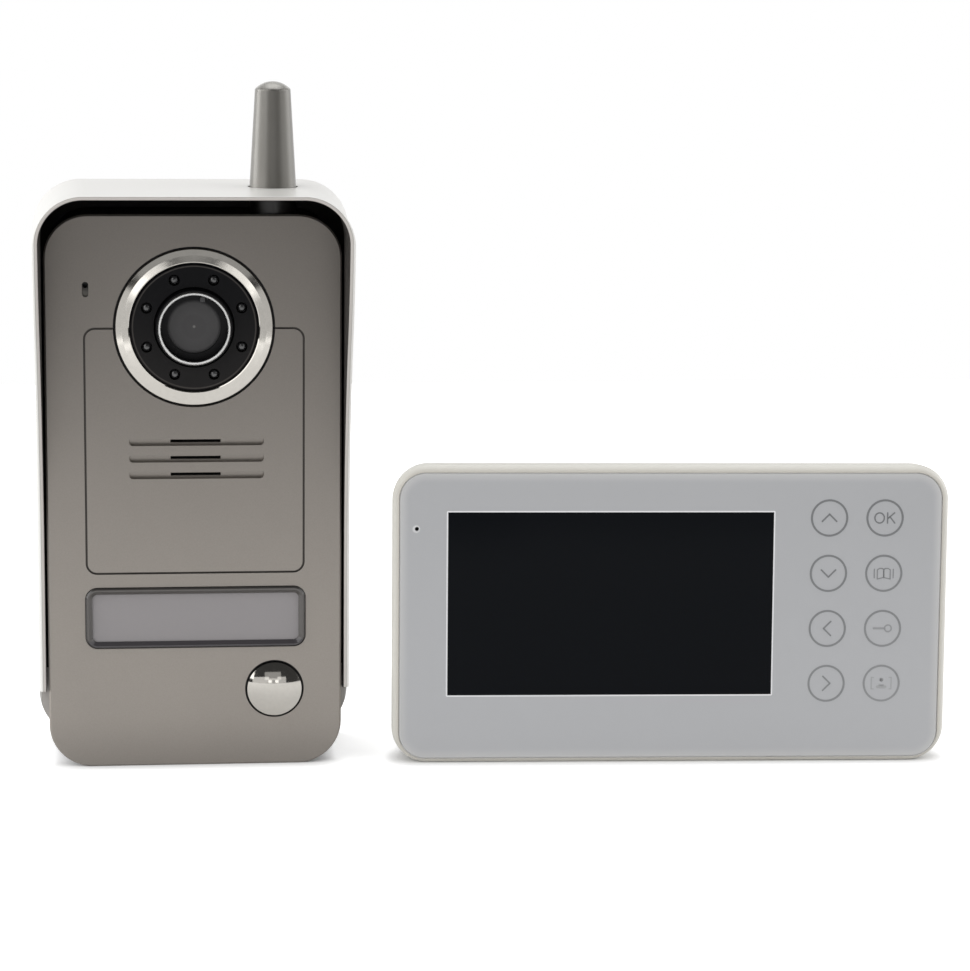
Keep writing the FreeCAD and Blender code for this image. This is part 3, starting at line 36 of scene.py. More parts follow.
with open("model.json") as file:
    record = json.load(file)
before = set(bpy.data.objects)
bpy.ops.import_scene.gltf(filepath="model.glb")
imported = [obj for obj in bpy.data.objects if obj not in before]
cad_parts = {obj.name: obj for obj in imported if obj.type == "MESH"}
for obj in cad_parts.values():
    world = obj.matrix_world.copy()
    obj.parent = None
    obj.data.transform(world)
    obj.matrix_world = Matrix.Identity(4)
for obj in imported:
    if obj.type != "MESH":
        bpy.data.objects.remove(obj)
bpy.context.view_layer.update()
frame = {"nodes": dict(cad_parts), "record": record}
MM = 0.001

# Places worked out from the frame

def box_of(name):
    """The low and the high corner of a CAD node's box."""
    return tuple(Vector(corner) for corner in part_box(name))


def middle_of(name):
    """The middle of a CAD node's box."""
    low, high = box_of(name)
    return (low + high) / 2


# STATION is the middle of the door station's front, on the floor.
PANEL_LOW, PANEL_HIGH = box_of("face_panel")
STATION = Vector(((PANEL_LOW.x + PANEL_HIGH.x) / 2, PANEL_LOW.y, 0.0))
LENS_CENTRE = middle_of("camera_ring")


# Settings

class IntercomStance(bpy.types.PropertyGroup):
    """Where the monitor stands and how it leans."""

    place: bpy.props.FloatVectorProperty(
        name="Place", description="Foot of the monitor's front face, on the floor",
        default=(0.05120190, -0.01141575, 0.0), size=3, subtype="TRANSLATION", unit="LENGTH")
    turn: bpy.props.FloatProperty(
        name="Turn", description="Turn about the upright axis, right side nearer the viewer",
        default=math.radians(-2.84), subtype="ANGLE")
    lean: bpy.props.FloatProperty(
        name="Lean", description="Lean back from upright",
        default=math.radians(-3.08), subtype="ANGLE")


class IntercomScreen(bpy.types.PropertyGroup):
    """Sizes of what is printed on the monitor's glass."""

    left: bpy.props.FloatProperty(
        name="Screen left", description="Left edge of the picture from the middle of the glass",
        default=-65.2 * MM, unit="LENGTH", precision=5)
    low: bpy.props.FloatProperty(
        name="Screen low", description="Lower edge of the picture",
        default=20.1 * MM, unit="LENGTH", precision=5)
    width: bpy.props.FloatProperty(
        name="Screen width", description="Width of the picture",
        default=95.04 * MM, unit="LENGTH", precision=5)
    height: bpy.props.FloatProperty(
        name="Screen height", description="Height of the picture",
        default=53.86 * MM, unit="LENGTH", precision=5)
    border: bpy.props.FloatProperty(
        name="Border line", description="Width of the pale line round the picture",
        default=0.4 * MM, unit="LENGTH", precision=5)
    key_left: bpy.props.FloatProperty(
        name="Key column", description="Middle of the left column of keys",
        default=46.13 * MM, unit="LENGTH", precision=5)
    key_top: bpy.props.FloatProperty(
        name="Key row", description="Middle of the top row of keys",
        default=72.26 * MM, unit="LENGTH", precision=5)
    key_pitch: bpy.props.FloatProperty(
        name="Key pitch", description="Distance from key to key",
        default=16.33 * MM, unit="LENGTH", precision=5)
    line: bpy.props.FloatProperty(
        name="Symbol line", description="Width of a symbol's strokes",
        default=0.42 * MM, unit="LENGTH", precision=5)


class IntercomColours(bpy.types.PropertyGroup):
    """Colours of the main surfaces, as light reflected."""

    panel: bpy.props.FloatVectorProperty(
        name="Panel", description="Satin paint of the door station's face", size=3,
        subtype="COLOR", default=(0.33, 0.302, 0.273))
    hood: bpy.props.FloatVectorProperty(
        name="Hood", description="Pale paint outside the rain hood", size=3,
        subtype="COLOR", default=(0.78, 0.77, 0.74))
    hood_inside: bpy.props.FloatVectorProperty(
        name="Hood inside", description="Dark paint inside the rain hood", size=3,
        subtype="COLOR", default=(0.040, 0.035, 0.032))
    housing: bpy.props.FloatVectorProperty(
        name="Housing", description="Monitor's plastic housing", size=3,
        subtype="COLOR", default=(0.745, 0.73, 0.68))
    glass: bpy.props.FloatVectorProperty(
        name="Glass", description="Print behind the monitor's glass", size=3,
        subtype="COLOR", default=(0.445, 0.45, 0.462))
    screen: bpy.props.FloatVectorProperty(
        name="Screen", description="Switched-off screen", size=3,
        subtype="COLOR", default=(0.0012, 0.0020, 0.0035))
    symbol: bpy.props.FloatVectorProperty(
        name="Symbols", description="Print of the keys", size=3,
        subtype="COLOR", default=(0.20, 0.205, 0.21))


class IntercomStudio(bpy.types.PropertyGroup):
    """Light and camera."""

    floor_size: bpy.props.FloatProperty(
        name="Floor", description="Width of the floor", default=1.5, unit="LENGTH")
    fill: bpy.props.FloatProperty(
        name="Fill", description="Strength of the even light from all round", default=0.5)
    room: bpy.props.FloatProperty(
        name="Room", description="What gloss shows of the room behind the viewer", default=0.05)
    lens: bpy.props.FloatProperty(
        name="Lens", description="Focal length of the camera in millimetres", default=116.24)
    eye: bpy.props.FloatVectorProperty(
        name="Eye", description="Place of the camera", size=3, subtype="TRANSLATION",
        unit="LENGTH", default=(-0.101528, -0.890546, 0.24286))
    heading: bpy.props.FloatProperty(
        name="Heading", description="Turn of the camera to the right of straight ahead",
        default=math.radians(6.336), subtype="ANGLE")
    pitch: bpy.props.FloatProperty(
        name="Pitch", description="Tilt of the camera below level",
        default=math.radians(10.246), subtype="ANGLE")
    roll: bpy.props.FloatProperty(
        name="Roll", description="Tilt of the camera to its left",
        default=math.radians(0.626), subtype="ANGLE")


# Shared effects

def new_group(name, inputs, outputs):
    """An empty node group with named sockets."""
    group = bpy.data.node_groups.new(name, "ShaderNodeTree")
    for label, kind, value in inputs:
        socket = group.interface.new_socket(label, in_out="INPUT", socket_type=kind)
        if value is not None:
            socket.default_value = value
    for label, kind in outputs:
        group.interface.new_socket(label, in_out="OUTPUT", socket_type=kind)
    start = group.nodes.new("NodeGroupInput")
    end = group.nodes.new("NodeGroupOutput")
    return group, start, end


def maths(tree, operation, *values, clamp=False):
    """A Math node fed by numbers or sockets; returns its output."""
    node = tree.nodes.new("ShaderNodeMath")
    node.operation = operation
    node.use_clamp = clamp
    for socket, value in zip(node.inputs, values):
        if isinstance(value, bpy.types.NodeSocket):
            tree.links.new(value, socket)
        else:
            socket.default_value = value
    return node.outputs[0]


def blend_colours(tree, factor, first, second):
    """A colour between two, by a factor."""
    node = tree.nodes.new("ShaderNodeMix")
    node.data_type = "RGBA"
    for socket, value in ((node.inputs[0], factor), (node.inputs[6], first),
                          (node.inputs[7], second)):
        if isinstance(value, bpy.types.NodeSocket):
            tree.links.new(value, socket)
        elif isinstance(value, (tuple, list)):
            socket.default_value = tuple(value[:3]) + (1.0,)
        else:
            socket.default_value = value
    return node.outputs[2]


def step_below(tree, value, edge, softness):
    """1 where a value lies below an edge, 0 above, with a soft step."""
    node = tree.nodes.new("ShaderNodeMapRange")
    node.interpolation_type = "SMOOTHSTEP"
    tree.links.new(value, node.inputs["Value"])
    node.inputs["From Min"].default_value = edge - softness
    node.inputs["From Max"].default_value = edge + softness
    node.inputs["To Min"].default_value = 1.0
    node.inputs["To Max"].default_value = 0.0
    return node.outputs[0]


def step_above(tree, value, edge, softness):
    """1 where a value lies above an edge, 0 below, with a soft step."""
    return maths(tree, "SUBTRACT", 1.0, step_below(tree, value, edge, softness))


def multiply(tree, *factors):
    """The product of numbers or sockets."""
    product = factors[0]
    for factor in factors[1:]:
        product = maths(tree, "MULTIPLY", product, factor)
    return product


def between(tree, value, low, high, softness):
    """1 where a value lies between two edges, 0 outside them, with soft steps."""
    return multiply(tree, step_below(tree, value, high, softness),
                    step_above(tree, value, low, softness))


def axes_of(tree, vector):
    """A vector's X, Y and Z, each as a socket."""
    split = tree.nodes.new("ShaderNodeSeparateXYZ")
    tree.links.new(vector, split.inputs[0])
    return split.outputs


def shade_of(colour, share):
    """A colour made darker or lighter by a share."""
    return tuple(share * part for part in colour)


def build_grain_group():
    """Fine unevenness of colour, gloss and height."""
    group, start, end = new_group(
        "fine_grain",
        [("Vector", "NodeSocketVector", None), ("Colour", "NodeSocketColor", (1, 1, 1, 1)),
         ("Roughness", "NodeSocketFloat", 0.5), ("Grain size", "NodeSocketFloat", 900.0),
         ("Tint", "NodeSocketFloat", 0.05), ("Gloss change", "NodeSocketFloat", 0.05)],
        [("Colour", "NodeSocketColor"), ("Roughness", "NodeSocketFloat"),
         ("Height", "NodeSocketFloat")])
    links = group.links
    fine = group.nodes.new("ShaderNodeTexNoise")
    fine.inputs["Detail"].default_value = 3.0
    links.new(start.outputs["Vector"], fine.inputs["Vector"])
    links.new(start.outputs["Grain size"], fine.inputs["Scale"])
    broad = group.nodes.new("ShaderNodeTexNoise")
    broad.inputs["Scale"].default_value = 28.0
    broad.inputs["Detail"].default_value = 4.0
    links.new(start.outputs["Vector"], broad.inputs["Vector"])
    fine_part = maths(group, "SUBTRACT", fine.outputs["Fac"], 0.5)
    broad_part = maths(group, "SUBTRACT", broad.outputs["Fac"], 0.5)
    both = maths(group, "ADD", fine_part, maths(group, "MULTIPLY", broad_part, 0.8))
    lift = maths(group, "ADD", maths(group, "MULTIPLY", both, start.outputs["Tint"]), 1.0)
    scale = group.nodes.new("ShaderNodeVectorMath")
    scale.operation = "SCALE"
    links.new(start.outputs["Colour"], scale.inputs[0])
    links.new(lift, scale.inputs["Scale"])
    links.new(scale.outputs[0], end.inputs["Colour"])
    gloss = maths(group, "MULTIPLY", both, start.outputs["Gloss change"])
    links.new(maths(group, "ADD", start.outputs["Roughness"], gloss, clamp=True),
              end.inputs["Roughness"])
    links.new(fine.outputs["Fac"], end.inputs["Height"])
    return group


def build_plate_group():
    """Distance from a point to the outline of a round-cornered upright plate."""
    group, start, end = new_group(
        "plate_distance",
        [("Vector", "NodeSocketVector", None), ("Middle X", "NodeSocketFloat", 0.0),
         ("Middle Z", "NodeSocketFloat", 0.0), ("Half width", "NodeSocketFloat", 1.0),
         ("Half height", "NodeSocketFloat", 1.0), ("Corner", "NodeSocketFloat", 0.0)],
        [("Distance", "NodeSocketFloat")])
    split = group.nodes.new("ShaderNodeSeparateXYZ")
    group.links.new(start.outputs["Vector"], split.inputs[0])
    parts = []
    for axis, middle, half in (("X", "Middle X", "Half width"), ("Z", "Middle Z", "Half height")):
        away = maths(group, "ABSOLUTE", maths(group, "SUBTRACT", split.outputs[axis],
                                              start.outputs[middle]))
        inner = maths(group, "SUBTRACT", start.outputs[half], start.outputs["Corner"])
        parts.append(maths(group, "SUBTRACT", away, inner))
    wide = maths(group, "MAXIMUM", parts[0], 0.0)
    tall = maths(group, "MAXIMUM", parts[1], 0.0)
    outside = maths(group, "SQRT", maths(group, "ADD", maths(group, "MULTIPLY", wide, wide),
                                         maths(group, "MULTIPLY", tall, tall)))
    inside = maths(group, "MINIMUM", maths(group, "MAXIMUM", parts[0], parts[1]), 0.0)
    total = maths(group, "SUBTRACT", maths(group, "ADD", outside, inside),
                  start.outputs["Corner"])
    group.links.new(total, end.inputs["Distance"])
    return group


def object_vector(tree):
    """The Object coordinates of a piece."""
    return tree.nodes.new("ShaderNodeTexCoord").outputs["Object"]


def plate_distance(tree, vector, middle_x, middle_z, half_width, half_height, corner):
    """Places the plate distance group; numbers or sockets."""
    node = tree.nodes.new("ShaderNodeGroup")
    node.node_tree = bpy.data.node_groups["plate_distance"]
    tree.links.new(vector, node.inputs["Vector"])
    for label, value in (("Middle X", middle_x), ("Middle Z", middle_z),
                         ("Half width", half_width), ("Half height", half_height),
                         ("Corner", corner)):
        if isinstance(value, bpy.types.NodeSocket):
            tree.links.new(value, node.inputs[label])
        else:
            node.inputs[label].default_value = value
    return node.outputs["Distance"]


def spot_distance(tree, vector, middle):
    """Distance from the front-to-back line through a point, for round marks."""
    return plate_distance(tree, vector, middle.x, middle.z, 0.0, 0.0, 0.0)


def make_finish(name, colour, roughness, metallic=0.0, coat=0.0, coat_roughness=0.1,
                grain=900.0, tint=0.05, gloss_change=0.06, bump=0.02, bump_depth=0.00002,
                specular=0.5, painter=None):
    """A material with the grain group; painter can put a pattern in place of the colour."""
    material = bpy.data.materials.new(name)
    material.use_nodes = True
    tree = material.node_tree
    shader = tree.nodes["Principled BSDF"]
    vector = object_vector(tree)
    node = tree.nodes.new("ShaderNodeGroup")
    node.node_tree = bpy.data.node_groups["fine_grain"]
    tree.links.new(vector, node.inputs["Vector"])
    node.inputs["Colour"].default_value = tuple(colour) + (1.0,)
    node.inputs["Roughness"].default_value = roughness
    node.inputs["Grain size"].default_value = grain
    node.inputs["Tint"].default_value = tint
    node.inputs["Gloss change"].default_value = gloss_change
    if painter is not None:
        colour_socket, rough_socket = painter(tree, vector)
        tree.links.new(colour_socket, node.inputs["Colour"])
        if rough_socket is not None:
            tree.links.new(rough_socket, node.inputs["Roughness"])
    tree.links.new(node.outputs["Colour"], shader.inputs["Base Color"])
    tree.links.new(node.outputs["Roughness"], shader.inputs["Roughness"])
    shader.inputs["Metallic"].default_value = metallic
    shader.inputs["Coat Weight"].default_value = coat
    shader.inputs["Coat Roughness"].default_value = coat_roughness
    shader.inputs["Specular IOR Level"].default_value = specular
    if bump > 0:
        relief = tree.nodes.new("ShaderNodeBump")
        relief.inputs["Strength"].default_value = bump
        relief.inputs["Distance"].default_value = bump_depth
        tree.links.new(node.outputs["Height"], relief.inputs["Height"])
        tree.links.new(relief.outputs["Normal"], shader.inputs["Normal"])
    return material


def dress(name, material):
    """Gives a CAD node its material."""
    mesh = frame["nodes"][name].data
    if len(mesh.materials) == 0:
        mesh.materials.append(material)
    for index in range(len(mesh.materials)):
        mesh.materials[index] = material


def stance_matrix():
    """From the upright monitor's own axes to where it stands."""
    stance = bpy.context.scene.intercom_stance
    return (Matrix.Translation(Vector(stance.place))
            @ Matrix.Rotation(stance.turn, 4, "Z") @ Matrix.Rotation(stance.lean, 4, "X"))


def monitor_vector(tree, vector):
    """Object coordinates turned into the upright monitor's own axes."""
    back = stance_matrix().inverted()
    mapping = tree.nodes.new("ShaderNodeMapping")
    mapping.inputs["Rotation"].default_value = back.to_euler("XYZ")
    mapping.inputs["Location"].default_value = back.to_translation()
    tree.links.new(vector, mapping.inputs["Vector"])
    return mapping.outputs["Vector"]


# Door station

class INTERCOM_OT_face(bpy.types.Operator):
    """Finish the face panel, the call button and the camera's ring"""

    bl_idname = "intercom.face"
    bl_label = "Finish the face panel"

    def execute(self, context):
        paint = context.scene.intercom_colours.panel
        hood_shade_middle = 80 * MM
        hood_shade_reach = 62 * MM
        floor_shade_height = 8 * MM
        groove_depth = 0.25 * MM
        crisp = 0.05 * MM
        line_x = STATION.x + 0.15 * MM
        line_z = 92.4 * MM
        line_half_width = 31.35 * MM
        line_half_height = 35.7 * MM
        line_corner = 3.3 * MM
        line_inside = 0.68 * MM
        line_outside = 0.08 * MM
        slot_x = STATION.x - 30.45 * MM
        slot_z = 138.95 * MM
        slot_half_width = 0.9 * MM
        slot_half_height = 2.15 * MM
        slot_lit_below = 138.4 * MM
        button = middle_of("call_button")
        button_shade_radius = 8.49 * MM

        def panel_pattern(tree, vector):
            """Paint with painted shade: darker towards the top under the hood, near the floor, in
            the framing line, in the slot and in the gap round the button.
            """
            axes = axes_of(tree, vector)
            # Painted shade: the panel darkens towards the top, where the hood keeps the light off.
            low = step_below(tree, axes["Z"], hood_shade_middle, hood_shade_reach)
            colour = blend_colours(tree, low, shade_of(paint, 0.70), shade_of(paint, 1.07))
            # Painted shade: the panel is a little darker near the floor.
            floor_shade = step_below(tree, axes["Z"], floor_shade_height, floor_shade_height)
            colour = blend_colours(tree, floor_shade, colour, shade_of(paint, 0.88))
            sunk = step_above(tree, axes["Y"], STATION.y + groove_depth, 0.1 * MM)
            line_far = plate_distance(tree, vector, line_x, line_z, line_half_width,
                                      line_half_height, line_corner)
            line = between(tree, line_far, -line_inside, line_outside, crisp)
            slot_far = plate_distance(tree, vector, slot_x, slot_z, slot_half_width,
                                      slot_half_height, slot_half_width)
            slot = step_below(tree, slot_far, 0.1 * MM, crisp)
            # Painted shade in the framing line's groove and in the microphone slot; the slot's
            # lower end is painted lighter.
            dark = multiply(tree, maths(tree, "MAXIMUM", line, slot), sunk)
            lower = multiply(tree, slot, step_below(tree, axes["Z"], slot_lit_below, 1.6 * MM))
            shade = blend_colours(tree, line, (0.03, 0.028, 0.025), (0.08, 0.073, 0.066))
            shade = blend_colours(tree, lower, shade, (0.17, 0.16, 0.145))
            colour = blend_colours(tree, dark, colour, shade)
            # Painted shade in the gap round the call button.
            button_gap_shade = step_below(tree, spot_distance(tree, vector, button), button_shade_radius, 0.06 * MM)
            return blend_colours(tree, button_gap_shade, colour, (0.012, 0.011, 0.010)), None

        dress("face_panel", make_finish("panel_paint", paint, 0.42, metallic=0.75,
                                        coat=0.12, coat_roughness=0.25, grain=2600.0,
                                        tint=0.16, bump=0.04, painter=panel_pattern))
        chrome = make_finish("polished_chrome", (0.62, 0.595, 0.55), 0.07, metallic=1.0,
                             tint=0.12, gloss_change=0.08, bump=0.0)
        dress("call_button", chrome)
        dress("camera_ring", chrome)
        return {"FINISHED"}


class INTERCOM_OT_camera(bpy.types.Operator):
    """Finish the lens, its shroud, the lamps round it and the small capsules"""

    bl_idname = "intercom.camera"
    bl_label = "Finish the camera"

    def execute(self, context):
        bevel_glint_from = 17.25 * MM
        bevel_glint_to = 17.6 * MM
        pane_radius = 7.1 * MM
        lens_radius = 3.5 * MM
        lens_glint_radius = 0.36 * MM

        def cover_pattern(tree, vector):
            """Black plastic, greyer towards the floor as painted light from the floor, with a
            painted highlight along its bevelled edge.
            """
            # Painted light: the cover turns greyer towards the floor.
            low = step_below(tree, axes_of(tree, vector)["Z"], LENS_CENTRE.z, 14 * MM)
            colour = blend_colours(tree, low, (0.004, 0.004, 0.005), (0.014, 0.013, 0.013))
            # Painted highlight: a light line along the cover's bevelled edge.
            far = spot_distance(tree, vector, LENS_CENTRE)
            line = between(tree, far, bevel_glint_from, bevel_glint_to, 0.1 * MM)
            return blend_colours(tree, line, colour, (0.055, 0.05, 0.046)), None

        def window_pattern(tree, vector):
            """A dark pane, black towards its edge as painted shade from the shroud and grey in the
            middle, in part a painted reflection of the floor, with a darker lens behind its middle
            and a painted glint at its centre.
            """
            far = spot_distance(tree, vector, LENS_CENTRE)
            # Painted shade at the pane's edge; the grey in the middle is in part a painted
            # reflection of the floor.
            pane = step_below(tree, far, pane_radius, 0.55 * MM)
            colour = blend_colours(tree, pane, (0.009, 0.009, 0.010), (0.068, 0.066, 0.067))
            lens = multiply(tree, step_below(tree, far, lens_radius, 0.5 * MM), 0.6)
            colour = blend_colours(tree, lens, colour, (0.057, 0.055, 0.056))
            # Painted glint: a light dot at the middle of the lens.
            lens_glint = multiply(tree, step_below(tree, far, lens_glint_radius, 0.2 * MM), 0.7)
            return blend_colours(tree, lens_glint, colour, (0.24, 0.235, 0.225)), None

        dress("lamp_cover", make_finish("lamp_cover_black", (0.005, 0.005, 0.006), 0.35,
                                        specular=0.12, tint=0.2, painter=cover_pattern))
        dress("lens_shroud", make_finish("shroud_black", (0.005, 0.005, 0.006), 0.45,
                                         specular=0.2, tint=0.1))
        dress("lens_ring", make_finish("satin_silver", (0.80, 0.80, 0.79), 0.25, metallic=1.0,
                                       tint=0.04))
        dress("door_microphone", make_finish("dark_tin", (0.05, 0.05, 0.05), 0.45,
                                             metallic=0.6, tint=0.1))
        dress("monitor_microphone", make_finish("capsule_black", (0.008, 0.008, 0.008), 0.6,
                                                specular=0.1, tint=0.1))
        dress("light_sensor", make_finish("sensor_grey", (0.045, 0.045, 0.047), 0.25,
                                          coat=0.4, tint=0.1))
        dress("infrared_lamps", make_finish("lamp_dome", (0.018, 0.018, 0.019), 0.3,
                                            coat=1.0, coat_roughness=0.12, specular=1.0,
                                            tint=0.1, bump=0.0))
        dress("lens_window", make_finish("lens_pane", (0.05, 0.048, 0.049), 0.18,
                                         specular=0.3, tint=0.04, bump=0.0,
                                         painter=window_pattern))
        return {"FINISHED"}


class INTERCOM_OT_name_window(bpy.types.Operator):
    """Finish the name window and its smoky frame"""

    bl_idname = "intercom.name_window"
    bl_label = "Finish the name window"

    def execute(self, context):
        low_corner, high_corner = box_of("name_frame")
        middle = (low_corner + high_corner) / 2
        half = (high_corner - low_corner) / 2
        outer_corner = 3.4 * MM
        edge_width = 0.4 * MM
        band_top = 37.3 * MM

        def frame_pattern(tree, vector):
            """Smoky plastic, darker in its lower band and black at its outer edge."""
            far = plate_distance(tree, vector, middle.x, middle.z, half.x, half.z, outer_corner)
            low = step_below(tree, axes_of(tree, vector)["Z"], band_top, 0.5 * MM)
            colour = blend_colours(tree, low, (0.095, 0.088, 0.083), (0.05, 0.046, 0.05))
            edge = step_above(tree, far, -edge_width, 0.15 * MM)
            weight = maths(tree, "ADD", multiply(tree, low, 0.3), 0.65)
            return blend_colours(tree, multiply(tree, edge, weight), colour,
                                 (0.006, 0.006, 0.006)), None

        dress("name_frame", make_finish("smoky_frame", (0.055, 0.051, 0.055), 0.2, coat=0.2,
                                        coat_roughness=0.06, tint=0.08, bump=0.0,
                                        painter=frame_pattern))
        dress("name_window", make_finish("name_pane", (0.285, 0.27, 0.274), 0.25,
                                         specular=0.4, tint=0.03, bump=0.0))
        dress("name_card", make_finish("blank_card", (0.33, 0.31, 0.32), 0.6, tint=0.03))
        return {"FINISHED"}


class INTERCOM_OT_hood(bpy.types.Operator):
    """Finish the rain hood, pale outside and dark inside, and the aerial's sleeve"""

    bl_idname = "intercom.hood"
    bl_label = "Finish the rain hood"

    def execute(self, context):
        colours = context.scene.intercom_colours
        high = box_of("rain_hood")[1]
        plate = 1.6 * MM
        top_wall = 1.1 * MM
        rim_half = 42.8 * MM
        wall_end = 21.8 * MM
        flare = 1.6 * MM
        flare_start = STATION.y + 3.0 * MM
        corner = 12.4 * MM
        inside_to = 0.12 * MM
        rim_to = 0.86 * MM
        groove_shade_to = 1.0 * MM
        crisp = 0.05 * MM
        under_top = high.z - top_wall
        tip_start = box_of("aerial_sleeve")[1].z - 2.0 * MM

        def two_sides(tree, vector):
            """Dark inside down to where the side walls end, with a grey rim and a dark line of
            painted shade in the fine groove beside it.
            """
            axes = axes_of(tree, vector)
            deep = maths(tree, "SUBTRACT", axes["Y"], flare_start)
            share = maths(tree, "DIVIDE", deep, high.y - flare_start, clamp=True)
            half = maths(tree, "ADD", multiply(tree, share, flare), rim_half)
            far = plate_distance(tree, vector, STATION.x, 0.0, half, under_top, corner)
            ahead = step_below(tree, axes["Y"], high.y - plate / 2, crisp)
            above = step_above(tree, axes["Z"], wall_end, 0.1 * MM)
            inside = multiply(tree, step_below(tree, far, inside_to, crisp), ahead, above)
            rough = maths(tree, "ADD", multiply(tree, inside, 0.3), 0.3)
            rim = multiply(tree, step_below(tree, far, rim_to, crisp), ahead)
            # Painted shade: a dark line in the fine groove just outside the rim.
            groove_shade = multiply(tree, step_below(tree, far, groove_shade_to, crisp), ahead,
                            maths(tree, "SUBTRACT", 1.0, rim))
            colour = blend_colours(tree, rim, tuple(colours.hood), (0.54, 0.51, 0.48))
            colour = blend_colours(tree, multiply(tree, groove_shade, 0.7), colour,
                                   (0.16, 0.14, 0.12))
            colour = blend_colours(tree, inside, colour, tuple(colours.hood_inside))
            return colour, rough

        def sleeve_pattern(tree, vector):
            """The sleeve gets painted shade under the hood's top and painted light on its tip."""
            height = axes_of(tree, vector)["Z"]
            # Painted shade: the sleeve is dark where it runs under the hood's top.
            below = step_below(tree, height, under_top, 0.15 * MM)
            # Painted light: the tip is lighter where its top faces the light.
            body = step_below(tree, height, tip_start, 0.4 * MM)
            colour = blend_colours(tree, body, (0.54, 0.525, 0.49), (0.19, 0.182, 0.165))
            return blend_colours(tree, below, colour, (0.02, 0.019, 0.018)), None

        dress("rain_hood", make_finish("hood_paint", colours.hood, 0.3, grain=700.0,
                                       tint=0.03, bump=0.02, painter=two_sides))
        dress("aerial_sleeve", make_finish("aerial_paint", (0.28, 0.27, 0.25), 0.44,
                                           metallic=0.8, coat=0.8, coat_roughness=0.24,
                                           grain=1200.0, tint=0.03, gloss_change=0.02,
                                           bump=0.0, painter=sleeve_pattern))
        return {"FINISHED"}


# Monitor

def worn_print(wear):
    """A painter of print that is fainter on the lower keys, by wear in the right column."""
    sizes = bpy.context.scene.intercom_screen
    symbol = tuple(bpy.context.scene.intercom_colours.symbol)
    worn_rows = 3.3
    low_key = sizes.key_top - worn_rows * sizes.key_pitch
    column_gap = sizes.key_left + sizes.key_pitch / 2

    def pattern(tree, vector):
        axes = axes_of(tree, monitor_vector(tree, vector))
        share = maths(tree, "DIVIDE", maths(tree, "SUBTRACT", axes["Z"], low_key),
                      sizes.key_top - low_key, clamp=True)
        right = step_above(tree, axes["X"], column_gap, 0.1 * MM)
        worn = blend_colours(tree, multiply(tree, right, wear), (0.265, 0.27, 0.275),
                             (0.40, 0.405, 0.41))
        return blend_colours(tree, share, worn, symbol), None

    return pattern


def print_finish(name, wear):
    """The grey print of the keys."""
    return make_finish(name, bpy.context.scene.intercom_colours.symbol, 0.5, specular=0.2,
                       tint=0.05, bump=0.0, painter=worn_print(wear))


